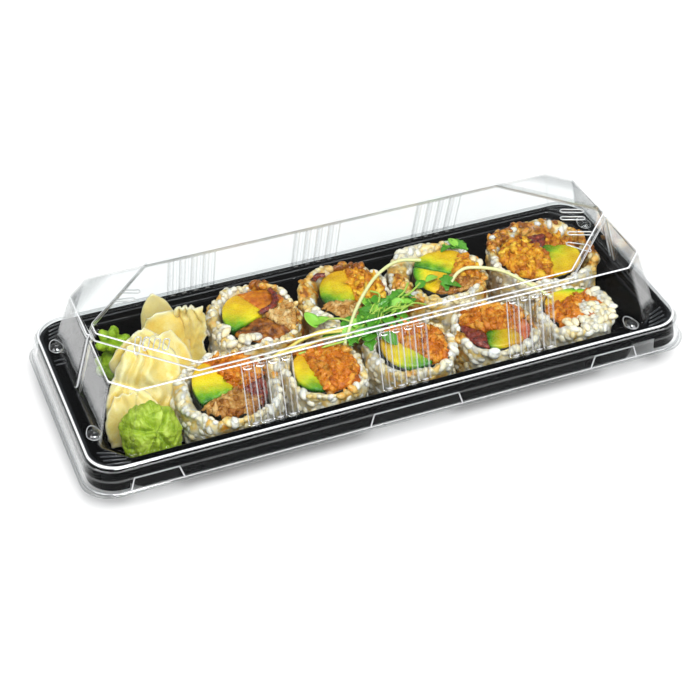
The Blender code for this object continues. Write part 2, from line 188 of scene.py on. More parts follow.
# %% Finishes
class Finish:
    """A material that is built up from nodes."""

    def __init__(self, name):
        self.material = bpy.data.materials.new(name)
        self.material.use_nodes = True
        self.tree = self.material.node_tree
        self.tree.nodes.clear()
        where = self.node("TexCoord", output="Object")
        self.place = self.node("VectorMath", {"operation": "SCALE"}, {0: where, "Scale": 1 / MM})

    def node(self, kind, settings=None, inputs=None, output=0):
        """Add a node, and return one of its outputs as a wire."""
        node = self.tree.nodes.new("ShaderNode" + kind)
        for key, value in (settings or {}).items():
            if key == "stops":
                set_stops(node.color_ramp, value)
            else:
                setattr(node, key, value)
        for key, value in (inputs or {}).items():
            if isinstance(value, Wire):
                self.tree.links.new(value.socket, node.inputs[key])
            else:
                node.inputs[key].default_value = value
        return Wire(self, node.outputs[output]) if node.outputs else None

    def noise(self, size, detail=2.0, roughness=0.5, distortion=0.0):
        """Soft cloudy patches about size millimetres across, from 0 to 1."""
        inputs = {"Vector": self.place, "Scale": 1 / size, "Detail": detail}
        return self.node("TexNoise", {}, {**inputs, "Roughness": roughness, "Distortion": distortion})

    def value(self, name):
        """A number that the piece carries at its vertices."""
        return self.node("Attribute", {"attribute_name": name}, output="Fac")

    def blend(self, share, first, second, how="MIX"):
        """Mix two colours, or put the second over the first in another way."""
        settings = {"data_type": "RGBA", "blend_type": how}
        return self.node("Mix", settings, {0: share, 6: first, 7: second}, output=2)

    def ramp(self, value, stops):
        """Colours along a number."""
        return self.node("ValToRGB", {"stops": stops}, {0: value})

    def bump(self, height, depth):
        """Relief that is depth millimetres high where the number goes from 0 to 1."""
        return self.node("Bump", {}, {"Height": height, "Distance": depth * MM, "Strength": 1.0})

    def surface(self, **inputs):
        """Close the graph with one Principled shader. Names are written with underscores."""
        named = {key.replace("_", " "): value for key, value in inputs.items()}
        shader = self.node("BsdfPrincipled", {}, named)
        self.node("OutputMaterial", {}, {"Surface": shader})
        return self.material


def set_stops(ramp, stops):
    """Fill a colour ramp from pairs of place and colour."""
    while len(ramp.elements) < len(stops):
        ramp.elements.new(1.0)
    for element, (place, color) in zip(ramp.elements, stops):
        element.position = place
        element.color = color


def even_ramp(places, codes):
    """Stops for a ramp from its places and as many colours."""
    return list(zip(places, [paint(code) for code in codes]))


print("a ramp from black to white:", even_ramp((0.0, 1.0), ("000000", "FFFFFF")))

# %% [markdown]
# ## Black tray and clear lid: how a formed sheet looks
# The tray is glossy black plastic. Thermoforming leaves a faint orange-peel ripple, and handling
# leaves hazy patches, so its roughness wanders. A thin grey highlight is painted along its folds.
#
# The lid is so thin that light hardly bends in it. It's made as a mix of a see-through shader and a
# mirror, and the mirror's share grows at flat angles. Layer Weight gives that share, because it's
# the same from both sides of a sheet. Along the folds the mirror's share grows, what shows through
# is painted darker, and a white diffuse share is mixed in: painted shade and a painted highlight.
# The folds carry their share at the vertices, as `line`.

# %% Two plastics
def make_black_tray():
    """Glossy black sheet with haze, fine scuffs and a painted grey highlight along its folds."""
    finish = Finish("black_tray")
    haze = finish.noise(14, detail=3)
    ripple = finish.noise(2.2, detail=1)
    scuffs = finish.noise(0.5, detail=2).step(0.66, 0.78)
    color = finish.blend(haze, paint("020203"), paint("060708"))
    line = finish.value("line")
    # line paints a grey highlight along the folds; the scuffs are real wear in the same grey.
    color = finish.blend(scuffs * 0.2 + line * 0.6, color, paint("3A3C40"))
    return finish.surface(
        Base_Color=color,
        Roughness=haze * 0.12 + 0.06 + scuffs * 0.1,
        Specular_IOR_Level=0.04,
        Coat_Weight=line.limit(),
        Coat_Roughness=0.08,
        Normal=finish.bump(ripple, 0.02),
    )


def make_clear_lid():
    """See-through sheet that mirrors at flat angles, with painted shade and a painted white highlight along
    its folds.
    """
    finish = Finish("clear_lid")
    wave = finish.bump(finish.noise(9, detail=1), 0.10)
    line = finish.value("line")
    smears = finish.noise(11, detail=3, roughness=0.6).step(0.55, 0.8)
    # What shows through a fold is painted darker: painted shade for the dark lines of its refraction.
    through = finish.blend(line.limit(), paint("FBFCFC"), paint("9A9EA2"))
    clear = finish.node("BsdfTransparent", {}, {"Color": through})
    gloss_rough = smears * 0.05 + 0.045
    mirror = {"Color": (1, 1, 1, 1), "Roughness": gloss_rough, "Normal": wave}
    gloss = finish.node("BsdfGlossy", {}, mirror)
    # A white diffuse share along the folds is a painted highlight, a little uneven with the smears.
    fold_highlight_paint = finish.blend(smears, paint("F2F4F6"), paint("FCFDFE"))
    painted_fold_highlight = finish.node("BsdfDiffuse", {}, {"Color": fold_highlight_paint})
    flat = finish.node("LayerWeight", {}, {"Blend": 0.5, "Normal": wave}, output="Facing")
    share = (flat ** 5.0 * 1.3 + 0.003 + line * 0.3).limit()
    sheet = finish.node("MixShader", {}, {0: share, 1: clear, 2: gloss})
    whole = finish.node("MixShader", {}, {0: ((line - 0.3) * 1.2).limit(), 1: sheet, 2: painted_fold_highlight})
    finish.node("OutputMaterial", {}, {"Surface": whole})
    return finish.material


black_tray = make_black_tray()
clear_lid = make_clear_lid()
print("plastics:", black_tray.name, clear_lid.name)

# %% [markdown]
# ## Rings
# Both sheets are a row of rings: outlines that each have their own height, half lengths, corner and
# end groove. A fold in a formed sheet is never sharp, so each key ring is replaced by a few that
# round it off. Then the first ring is drawn, and each next one is extruded from it.

# %% Rings with rounded folds
# line is how strong the painted highlight and shade along a ring's fold are.
Ring = namedtuple("Ring", "half_x half_y cut_x cut_y round z groove flute soft line")
FOLD_STEPS = 4


def between(a, b, t):
    """A value or a tuple of values, part of the way from a to b."""
    return type(a)(*(p + (q - p) * t for p, q in zip(a, b)))


def apart(a, b):
    """How far apart two rings are, across their profile."""
    return math.hypot(a.half_y - b.half_y, a.z - b.z)


def soften(keys):
    """Replace each key ring by an arc of rings, as wide as its soft value says."""
    rings = [keys[0]]
    for before, key, after in zip(keys, keys[1:], keys[2:]):
        reach = [min(key.soft / apart(key, other), 0.45) for other in (before, after)]
        start, end = between(key, before, reach[0]), between(key, after, reach[1])
        for i in range(FOLD_STEPS + 1):
            t = i / FOLD_STEPS
            ring = between(between(start, key, t), between(key, end, t), t)
            rings.append(ring._replace(line=key.line * math.sin(t * math.pi)))
    rings.append(keys[-1])
    return rings


print("rings round each fold:", FOLD_STEPS + 1)

# %% [markdown]
# ## The outline of one ring
# A corner is an arc or a straight cut with soft ends. The middle of each end wall has an upright
# groove, and each long wall has three groups of half-round flutes. The sheets look the same turned
# by half a turn, so half of the outline is enough. Each point also carries the weight of its fold,
# which is how strong the fold's painted line of highlight and shade is there.

# %% Outline with corners, groove and flutes
TURN_STEPS = 6
TURN_POINTS = TURN_STEPS + 1
CORNER_STEPS = 2 * TURN_POINTS - 1
CORNER_SOFT = 0.8
# END_FOLD, LONG_FOLD and FLUTE_FOLDS set how strong a fold's painted line is.
END_FOLD = 0.45
LONG_FOLD = 0.1
GROOVE_FOLD = 0.8  # the depth at which a groove's side folds
GROOVE = [(-2.0, 0.0), (-1.75, 0.15), (-1.5, GROOVE_FOLD), (-1.25, 1.0), (-0.4, 1.0)]
GROOVE += [(-y, depth) for y, depth in reversed(GROOVE)]
FLUTE_PITCH = 4.4
FLUTE_STEPS = [0.0, 0.06, 0.14, 0.2, 0.26, 0.4, 0.5, 0.6, 0.74, 0.8, 0.86, 0.94]
FLUTE_FOLDS = {0.0: 0.6, 0.2: 0.2, 0.5: 0.42, 0.8: 0.2}
FLUTE_MIDDLES = (45.5, -2.6, -50.3)
FLUTES_IN_GROUP = 4
FLUTE_END = 0.3
# The rear wall's upright folds get a fainter painted line, as they face away from the light.
REAR_WALL = 25.0  # the rear wall's upright folds are fainter
REAR_SHARE = 0.4


def soft_turn(before, corner, after, steps):
    """Points of a small arc that rounds one corner."""
    shares = [i / steps for i in range(steps + 1)]
    return [before.lerp(corner, t).lerp(corner.lerp(after, t), t) for t in shares]


def corner_points(ring):
    """A corner from the end wall round to the long wall, as points with the weight of their fold."""
    low = Vector((ring.half_x, ring.half_y - ring.cut_y))
    high = Vector((ring.half_x - ring.cut_x, ring.half_y))
    cut = (high - low).normalized() * CORNER_SOFT
    straight = soft_turn(low - Vector((0, CORNER_SOFT)), low, low + cut, TURN_STEPS)
    straight += soft_turn(high - cut, high, high - Vector((CORNER_SOFT, 0)), TURN_STEPS)
    points = []
    for i, place in enumerate(straight):
        turn = i / CORNER_STEPS * math.pi / 2
        arc_x = low.x - ring.cut_x * (1 - math.cos(turn))
        arc_y = high.y - ring.cut_y * (1 - math.sin(turn))
        fold = math.sin((i % TURN_POINTS) / TURN_STEPS * math.pi) ** 2 * (1 - ring.round)
        weight = END_FOLD if i < TURN_POINTS else LONG_FOLD
        points.append((place.lerp(Vector((arc_x, arc_y)), ring.round), weight * fold, 0.0))
    return points


def flute_points(ring):
    """The long wall at the back, from right to left: groups of half-round columns."""
    points = []
    for middle in FLUTE_MIDDLES:
        start = middle + FLUTE_PITCH * FLUTES_IN_GROUP / 2
        points.append((Vector((start + FLUTE_END, ring.half_y)), 0.0, 0.0))
        for i in range(FLUTES_IN_GROUP):
            for t in FLUTE_STEPS:
                swell = math.sin(t * math.pi) ** 0.8
                place = Vector((start - FLUTE_PITCH * (i + t), ring.half_y + ring.flute * swell))
                points.append((place, FLUTE_FOLDS.get(t, 0.0), swell))
        end = start - FLUTE_PITCH * FLUTES_IN_GROUP
        points.append((Vector((end, ring.half_y)), FLUTE_FOLDS[0.0], 0.0))
        points.append((Vector((end - FLUTE_END, ring.half_y)), 0.0, 0.0))
    return points


def outline(ring, upright):
    """All points of a ring in order, each with its share of the painted line of a fold.

    A ring with flutes is bright only where they swell out, and an upright fold only on the walls.
    """
    corner = corner_points(ring)
    end = []
    for y, depth in GROOVE:
        fold = min(1.0, ring.groove) if depth == GROOVE_FOLD else 0.0
        end.append((Vector((ring.half_x - ring.groove * depth, y)), fold, 0.0))
    front = [(Vector((p.x, -p.y)), fold, swell) for p, fold, swell in reversed(corner)]
    half = front + end + corner + flute_points(ring)
    points = []
    for side in (1, -1):
        for p, fold, swell in half:
            level = ring.line * (swell ** 2 if ring.flute else 1.0)
            share = REAR_SHARE if p.y * side > REAR_WALL else 1.0
            wall = fold * share if upright else 0.0
            points.append((Vector((side * p.x, side * p.y, ring.z)), max(level, wall)))
    return points


print("flutes on each long wall:", FLUTES_IN_GROUP * len(FLUTE_MIDDLES))

# %% [markdown]
# ## Drawing a sheet
# `extrude_edge_only` pulls a new ring of edges out of the last one, and each new vertex is then
# moved to its place. The last ring is filled, the normals are turned upwards, and a Solidify
# modifier gives the sheet its thickness below them.

# %% Sheet from rings
def ring_edges(form, ring):
    """The edges between neighbours in a closed ring of vertices."""
    return [form.edges.get((a, b)) for a, b in zip(ring, ring[1:] + ring[:1])]


def grow_ring(form, ring, points):
    """Extrude a closed ring of vertices, and put the new vertices at the points."""
    made = bmesh.ops.extrude_edge_only(form, edges=ring_edges(form, ring))
    new = {item for item in made["geom"] if isinstance(item, bmesh.types.BMVert)}
    grown = []
    for vert, point in zip(ring, points):
        twin = next(e.other_vert(vert) for e in vert.link_edges if e.other_vert(vert) in new)
        twin.co = point
        grown.append(twin)
    return grown


def sheet_from_rings(keys, wall=None):
    """The rings' surface, closed in the middle. wall is the range of heights with upright folds."""
    form = bmesh.new()
    line = form.verts.layers.float.new("line")
    ring = []
    for spec in soften(keys):
        points = outline(spec, wall is not None and wall[0] <= spec.z <= wall[1])
        if not ring:
            ring = [form.verts.new(point) for point, weight in points]
            for a, b in zip(ring, ring[1:] + ring[:1]):
                form.edges.new((a, b))
        else:
            ring = grow_ring(form, ring, [point for point, weight in points])
        for vert, (point, weight) in zip(ring, points):
            vert[line] = weight
    bmesh.ops.holes_fill(form, edges=ring_edges(form, ring), sides=0)
    bmesh.ops.recalc_face_normals(form, faces=form.faces)
    top = max(form.faces, key=lambda face: face.calc_center_median().z)
    if top.normal.z < 0:
        bmesh.ops.reverse_faces(form, faces=form.faces)
    return form


def thicken(piece, thickness):
    """Give a sheet its thickness, on the side away from its normals."""
    sheet = piece.modifiers.new("sheet", "SOLIDIFY")
    sheet.thickness = thickness * MM
    sheet.offset = -1


flat_ring = Ring(20, 10, 3, 3, 1, 0, 0, 0, 0, 0)
print("points in every ring:", len(outline(flat_ring, upright=False)))

# %% [markdown]
# ## The lid
# Read from the outside inwards: a flat flange, a steep skirt that presses over the tray's rim, a
# ledge, the drafted wall with its flutes, a narrow flat border, and the raised six-sided panel.
# The outer size comes from the solid's box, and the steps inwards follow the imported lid's. The
# numbers of a ring stand in the order that `Ring` names them.

# %% Clear lid
lid_high = box_mm("lid")[1]
tray_high = box_mm("tray")[1]
FLANGE_X, FLANGE_Y = lid_high.x, lid_high.y
RIM_X, RIM_Y = FLANGE_X - 4.0, FLANGE_Y - 3.0
FOOT_X, FOOT_Y = 102.9, 38.2
TOP_X, TOP_Y = 96.8, 32.2
PANEL_X, PANEL_Y = 96.0, 31.2
PANEL_CUT = 27.4
LID_SHEET = 0.5
LEDGE_Z = 20.15
SKIRT_Z = 11.0
WALL_TOP_Z = 41.8
LID_TOP_Z = lid_high.z - 0.13
WIDE = 100e-6  # square metres


def panel_ring(inset_x, inset_y, cut, z, soft, line):
    """A six-sided ring of the raised panel, from how far it lies inside the panel's foot."""
    cut += PANEL_CUT
    return Ring(PANEL_X - inset_x, PANEL_Y - inset_y, cut, cut, 0, z, 0, 0, soft, line)


lid_keys = [
    Ring(FLANGE_X, FLANGE_Y, 11, 11, 1, SKIRT_Z - 0.8, 0, 0, 0, 0.3),
    Ring(RIM_X + 2.6, RIM_Y + 2.0, 11, 11, 1, SKIRT_Z - 0.4, 0, 0, 0.5, 0.5),
    Ring(RIM_X + 2.3, RIM_Y + 1.8, 11, 11, 1, SKIRT_Z + 4.4, 0, 0, 0.4, 0.3),
    Ring(RIM_X + 1.3, RIM_Y + 1.2, 10.5, 10.5, 1, LEDGE_Z - 1.0, 0, 0, 0.35, 0.45),
    Ring(RIM_X + 0.2, RIM_Y + 0.1, 10, 10, 1, LEDGE_Z + 0.05, 0, 0, 0.6, 1.1),
    Ring(RIM_X - 1.6, RIM_Y - 1.4, 9.6, 9.6, 1, LEDGE_Z + 0.1, 0, 0, 0.3, 0.0),
    Ring(FOOT_X + 1.0, FOOT_Y + 0.8, 8.6, 9.5, 0.15, LEDGE_Z + 0.1, 0, 0.2, 0.4, 0.4),
    Ring(FOOT_X, FOOT_Y, 8.2, 9.1, 0, LEDGE_Z + 0.7, 0.9, 0.8, 0.5, 0.8),
    Ring(TOP_X + 0.7, TOP_Y + 0.7, 7.7, 7.7, 0, WALL_TOP_Z - 1.8, 0.9, 0.8, 0.3, 0.9),
    Ring(TOP_X + 0.3, TOP_Y + 0.4, 7.7, 7.7, 0, WALL_TOP_Z - 1.25, 0.9, 0.0, 0.25, 0.35),
    Ring(TOP_X, TOP_Y, 7.7, 7.7, 0, WALL_TOP_Z - 0.05, 0.9, 0.0, 0.75, 1.1),
    Ring(TOP_X - 0.8, TOP_Y - 0.9, 7.7, 7.7, 0, WALL_TOP_Z, 0.54, 0, 0.2, 0.2),
    panel_ring(0.2, 0.1, 0.5, WALL_TOP_Z + 0.02, 0.15, 0.0),
    panel_ring(0.3, 0.3, 0.2, WALL_TOP_Z + 0.4, 0.5, 1.0),
    panel_ring(1.1, 1.0, -0.2, LID_TOP_Z - 0.9, 0.1, 0.0),
    panel_ring(1.3, 1.2, -0.3, LID_TOP_Z - 0.15, 0.7, 1.1),
    panel_ring(2.4, 2.2, -0.7, LID_TOP_Z, 0.1, 0.0),
    panel_ring(3.0, 2.9, -1.0, LID_TOP_Z, 0, 0),
]
lid_form = sheet_from_rings(lid_keys, wall=(LEDGE_Z + 0.4, WALL_TOP_Z - 0.1))
lid = add_piece("lid_sheet", lid_form, clear_lid, ["lid"])
thicken(lid, LID_SHEET)
for face in lid.data.polygons:
    face.use_smooth = face.area < WIDE  # the wide top stays flat
print("lid sheet:", len(lid.data.polygons), "faces before its thickness")

# %% [markdown]
# ## Raised details of the lid
# Short rounded slots stiffen the panel's four diagonals, and trapezoid tabs in the skirt press in
# under the rim. All are pressed from the same sheet. They are drawn as rounded beads along a path,
# with a painted white highlight on them, as a pressed outline catches the light.

# %% Slots and tabs
def beads(paths, thickness, closed=True):
    """Round beads along paths of points, as one bmesh, made by a curve's bevel."""
    curve = bpy.data.curves.new("beads", "CURVE")
    curve.dimensions = "3D"
    curve.bevel_depth = thickness / 2
    curve.bevel_resolution = 1
    curve.use_fill_caps = not closed
    for path in paths:
        spline = curve.splines.new("POLY")
        spline.points.add(len(path) - 1)
        for knot, place in zip(spline.points, path):
            knot.co = (*place, 1)
        spline.use_cyclic_u = closed
    holder = bpy.data.objects.new("beads", curve)
    mesh = bpy.data.meshes.new_from_object(holder)
    form = bmesh.new()
    form.from_mesh(mesh)
    bpy.data.objects.remove(holder)
    bpy.data.meshes.remove(mesh)
    bmesh.ops.recalc_face_normals(form, faces=form.faces)
    return form


def through(points, steps):
    """A smooth path through points, by Catmull-Rom."""
    points = [Vector(p) for p in points]
    ends = [points[0] * 2 - points[1]] + points + [points[-1] * 2 - points[-2]]
    path = []
    for a, b, c, d in zip(ends, ends[1:], ends[2:], ends[3:]):
        for i in range(steps):
            t = i / steps
            bend = 2 * b + (c - a) * t + (2 * a - 5 * b + 4 * c - d) * t * t
            path.append(0.5 * (bend + (3 * b - a - 3 * c + d) * t ** 3))
    return path + [points[-1]]


def slot_path(start, end, width, height):
    """A long rounded loop round the line from start to end. height(x, y) lays it on a surface."""
    start, end = Vector(start), Vector(end)
    along = (end - start).normalized()
    side = Vector((-along.y, along.x)) * width / 2
    path = []
    for centre, sign in ((end, 1), (start, -1)):
        for i in range(TURN_POINTS):
            turn = math.pi * i / TURN_STEPS
            spot = centre + sign * (side * math.cos(turn) + along * math.sin(turn) * width / 2)
            path.append((spot.x, spot.y, height(spot.x, spot.y)))
    return path


def panel_height(x, y):
    """The lid's top: the panel inside its diagonals, the flat border outside them."""
    past = (abs(x) + abs(y)) - (PANEL_X + PANEL_Y - PANEL_CUT - 1.5)
    share = min(max(0.5 + past / 2.0, 0.0), 1.0)
    return LID_TOP_Z - 0.25 - (LID_TOP_Z - WALL_TOP_Z - 0.25) * share


SLOTS = [
    ((-83.9, -14.2), (-82.3, -10.6)), ((-81.3, -15.4), (-79.7, -11.8)),
    ((-78.3, -17.4), (-76.7, -13.8)), ((-75.5, -18.6), (-73.9, -15.0)),
    ((-79.9, 18.6), (-75.4, 14.4)), ((-83.8, 14.8), (-78.3, 10.7)),
    ((81.4, 3.8), (87.6, 1.2)), ((79.4, -0.4), (85.8, -3.0)),
    ((77.4, -9.8), (84.0, -12.4)), ((74.0, -15.4), (80.6, -18.0)),
]
SLOT_WIDTH = 1.9
bead_form = beads([slot_path(a, b, SLOT_WIDTH, panel_height) for a, b in SLOTS], 0.45)
TABS = [(-97.0, -79.0), (-13.0, 21.0), (71.0, 89.0)]
TAB_TOP = SKIRT_Z + 4.4
TAB_SLANT = 1.4
tab_paths = []
for side in (-1, 1):
    for start, end in TABS:
        top = [(start + TAB_SLANT, TAB_TOP), (end - TAB_SLANT, TAB_TOP)]
        corners = [(start, SKIRT_Z), *top, (end, SKIRT_Z)]
        depths = [RIM_Y + 2.0 - 0.1 * (z - SKIRT_Z) for x, z in corners]
        tab_paths.append([(-side * x, side * depth, z) for (x, z), depth in zip(corners, depths)])


def add_lid_detail(name, form, line):
    """A raised detail of the lid, with the same share of a fold's painted line all over it."""
    piece = add_piece(name, form, clear_lid)
    keep_values(piece, "line", [line] * len(piece.data.vertices))
    return piece


add_lid_detail("lid_tabs", beads(tab_paths, 0.5, closed=False), 0.7)
print("slots on the diagonals:", len(SLOTS), "tabs:", len(tab_paths))

# %% [markdown]
# ## Covers over the studs
# A stud keeps stacked trays apart, and the lid bulges over each one. A cover is the upper half of a
# flattened ball, cut off at the ledge, with a teardrop of a bead round its foot.

# %% Studs' covers
STUDS = [(-103.2, -23.8), (-103.4, 25.2), (103.2, 23.8), (89.6, -37.6)]
STUD_RADIUS = 2.1
STUD_HEIGHT = 1.9
COVER_GAP = 0.9
BEAD_Z = LEDGE_Z + 0.12
stud_z = tray_high.z - STUD_HEIGHT


def teardrop(x, y):
    """A loop round a stud, drawn out to a point along Y."""
    path = []
    for i in range(20):
        turn = 2 * math.pi * i / 20
        long_side = 4.8 if math.sin(turn) > 0 else 2.8
        pull = math.copysign(abs(math.sin(turn)) ** 1.4, math.sin(turn))
        path.append((x + 2.5 * math.cos(turn), y + long_side * pull, BEAD_Z))
    return path


def add_domes(form, radius, height):
    """A flattened ball on every stud's place."""
    for x, y in STUDS:
        made = bmesh.ops.create_uvsphere(form, u_segments=20, v_segments=12, radius=1.0)
        bmesh.ops.scale(form, vec=(radius, radius, height), verts=made["verts"])
        bmesh.ops.translate(form, vec=(x, y, stud_z), verts=made["verts"])


def cut_away(form, place, direction):
    """Cut a whole bmesh with a plane, and drop what lies beyond it."""
    every = form.verts[:] + form.edges[:] + form.faces[:]
    bmesh.ops.bisect_plane(form, geom=every, plane_co=place, plane_no=direction, clear_outer=True)


cover_form = bmesh.new()
add_domes(cover_form, STUD_RADIUS + COVER_GAP, STUD_HEIGHT + COVER_GAP)
cut_away(cover_form, (0, 0, LEDGE_Z), (0, 0, -1))
# The covers' share only darkens what shows through them a little, a painted shade; the beads' share paints
# a white highlight.
thicken(add_lid_detail("lid_stud_covers", cover_form, 0.25), 0.4)
bead_form.from_mesh(mesh_from(beads([teardrop(x, y) for x, y in STUDS], 0.3), "teardrops"))
add_lid_detail("lid_beads", bead_form, 0.7)
print("stud covers:", len(STUDS))

# %% [markdown]
# ## The tray
# The same rings draw the tray, from the skirt's foot over the rolled rim and the flat ledge, down
# the step to the floor. Blocks cut the latch recesses out of the skirt.

# %% Black tray
TRAY_SHEET = 0.7
RIM_Z = stud_z + 0.3
# The last number of each ring sets the painted grey highlight of its fold.
tray_keys = [
    Ring(RIM_X + 1.3, RIM_Y + 0.9, 10, 10, 1, SKIRT_Z, 0, 0, 0, 0),
    Ring(RIM_X + 0.5, RIM_Y + 0.45, 10, 10, 1, SKIRT_Z + 4.4, 0, 0, 0.6, 0),
    Ring(RIM_X, RIM_Y, 10, 10, 1, RIM_Z - 1.0, 0, 0, 0.5, 0),
    Ring(RIM_X - 0.7, RIM_Y - 0.6, 9.7, 9.7, 1, RIM_Z, 0, 0, 0.7, 0.6),
    Ring(FOOT_X - 0.5, FOOT_Y - 0.2, 8.2, 9.1, 0.1, RIM_Z, 0.3, 0, 0.5, 0.9),
    Ring(FOOT_X - 1.4, FOOT_Y - 1.0, 8.2, 9.1, 0.1, RIM_Z - 2.4, 0.9, 0, 0.4, 0.7),
    Ring(FOOT_X - 2.4, FOOT_Y - 1.9, 8.2, 9.1, 0.1, RIM_Z - 2.8, 0, 0, 0.5, 0),
    Ring(FOOT_X - 4.8, FOOT_Y - 3.8, 8.2, 8.2, 0.3, 2.1, 0, 0, 1.2, 0),
    Ring(FOOT_X - 6.8, FOOT_Y - 5.8, 8.2, 8.2, 0.3, TRAY_SHEET, 0, 0, 0.8, 0),
    Ring(FOOT_X - 12, FOOT_Y - 10, 8.2, 8.2, 0.3, TRAY_SHEET, 0, 0, 0, 0),
]
LATCHES = [(-88.0, 18.0), (4.0, 34.0), (88.0, 18.0)]
LATCH_HEIGHT = 4.4


def latch_blocks():
    """Blocks with rounded edges where the skirt is cut away, as a helper object."""
    form = bmesh.new()
    for side in (-1, 1):
        for middle, width in LATCHES:
            made = bmesh.ops.create_cube(form, size=1.0)
            bmesh.ops.scale(form, vec=(width, 6.0, 2 * LATCH_HEIGHT), verts=made["verts"])
            place = (-side * middle, side * (RIM_Y + 1), SKIRT_Z)
            bmesh.ops.translate(form, vec=place, verts=made["verts"])
    edges = form.edges[:]
    bmesh.ops.bevel(form, geom=edges, offset=0.8, segments=3, affect="EDGES", profile=0.5, material=-1)
    bmesh.ops.scale(form, vec=(MM, MM, MM), verts=form.verts)
    return bpy.data.objects.new("latch_blocks", mesh_from(form, "latch_blocks"))


def settle(piece, *helpers):
    """Turn a piece's modifiers into its mesh, and remove the helpers that they used."""
    for helper in helpers:
        bpy.context.scene.collection.objects.link(helper)
    graph = bpy.context.evaluated_depsgraph_get()
    mesh = bpy.data.meshes.new_from_object(piece.evaluated_get(graph))
    piece.modifiers.clear()
    piece.data = mesh
    for helper in helpers:
        bpy.data.objects.remove(helper)


tray = add_piece("tray_sheet", sheet_from_rings(tray_keys), black_tray, ["tray"])
thicken(tray, TRAY_SHEET)
blocks = latch_blocks()
recess = tray.modifiers.new("latches", "BOOLEAN")
recess.operation = "DIFFERENCE"
recess.object = blocks
recess.solver = "EXACT"
settle(tray, blocks)
tray.data.shade_smooth()
tray.data.set_sharp_from_angle(angle=math.radians(50))
print("tray sheet:", len(tray.data.polygons), "faces")

# %% [markdown]
# ## Studs and ribs of the tray
# Four low ribs stiffen the ledge at each corner. The studs stand where the wall meets the ledge.
# Both are rounded shapes that sink a little into the sheet, as pressed details do.

# %% Studs and corner ribs
def capsule(form, start, end, radius, height, z):
    """A low rib with round ends that lies on a surface at height z."""
    start, end = Vector((*start, z)), Vector((*end, z))
    along = end - start
    made = bmesh.ops.create_uvsphere(form, u_segments=12, v_segments=8, radius=1.0)
    for vert in made["verts"]:
        vert.co.x *= radius
        vert.co.x += math.copysign(along.length / 2, vert.co.x) if abs(vert.co.x) > 1e-6 else 0.0
        vert.co.y *= radius
        vert.co.z *= height
    turn = Matrix.Rotation(math.atan2(along.y, along.x), 4, "Z")
    bmesh.ops.transform(form, matrix=Matrix.Translation((start + end) / 2) @ turn, verts=made["verts"])


RIBS = 4
SHORT_RIBS = (17.0, 19.4)
# Ribs and studs get the tray's painted grey highlight and its coat, so that they show on the black.
RIB_HIGHLIGHT = 1.0
STUD_HIGHLIGHT = 0.6
rib_form = bmesh.new()
for side_x in (-1, 1):
    for side_y in (-1, 1):
        for i in range(RIBS):
            start = (side_x * (95.6 + 1.1 * i), side_y * (40.0 - 1.9 * i))
            end = (side_x * (102.8 + 0.5 * i), side_y * (38.6 - 2.2 * i))
            capsule(rib_form, start, end, 0.45, 0.5, RIM_Z)
for y in SHORT_RIBS:
    capsule(rib_form, (-105.4, y), (-102.4, y), 0.4, 0.4, RIM_Z)
lines = [RIB_HIGHLIGHT] * len(rib_form.verts)
add_domes(rib_form, STUD_RADIUS, STUD_HEIGHT)
lines += [STUD_HIGHLIGHT] * (len(rib_form.verts) - len(lines))
rib_piece = add_piece("tray_studs_and_ribs", rib_form, black_tray)
keep_values(rib_piece, "line", lines)
print("ribs:", 4 * RIBS + len(SHORT_RIBS), "studs:", len(STUDS))

# %% [markdown]
# ## Rice
# Short-grain rice is plump, a little bent, and translucent at its edges. A grain here is a small
# sphere drawn out and bent, with a few dozen faces. A roll gets a lumpy core, refined from the
# packed ring of rice, and several hundred grains lie half sunk in it, at even distances.
#
# Every vertex carries `stain`, how much brown-orange sauce the grain has taken up, and `tone`, how
# light it is. The core, which shows only between the grains, gets a little more stain as painted
# shade. One material reads both.

# %% Rice finish
def make_rice_finish():
    """White grains that turn yellow, orange and brown with the sauce."""
    finish = Finish("rice")
    stain = finish.value("stain")
    tone = finish.value("tone")
    cloud = finish.noise(1.7, detail=3)
    fine = finish.noise(0.35, detail=2)
    white = finish.blend(tone, paint("E6DEC2"), paint("F9F6E8"))
    share = (stain * 0.75 + (cloud - 0.45) * stain * 1.6).limit()
    stops = even_ramp((0.0, 0.3, 0.6, 0.95), ("F0E2B8", "E6C478", "D58F28", "8C4E10"))
    sauce = finish.ramp(share, stops)
    color = finish.blend((share * 3.0).limit(), white, sauce)
    return finish.surface(
        Base_Color=color,
        Roughness=0.25 + fine * 0.2,
        Subsurface_Weight=0.6,
        Subsurface_Radius=(1.0, 0.85, 0.6),
        Subsurface_Scale=0.0018,
        Specular_IOR_Level=0.4,
        Coat_Weight=0.15,
        Coat_Roughness=0.1,
        Normal=finish.bump(fine, 0.05),
    )


rice_finish = make_rice_finish()
print("finish:", rice_finish.name)

# %% [markdown]
# ## One grain, and where the others go
# Throwing points on a surface at random leaves gaps and clumps. So a point is dropped when another
# is too near, which spreads the grains as closely and evenly as they lie on a real roll. A coarse
# grid of cells makes the search for neighbours quick.

# %% One grain, and places for many
GRAIN_LENGTH = 4.9
GRAIN_WIDTH = 2.75
NEIGHBOURS = list(product((-1, 0, 1), repeat=3))


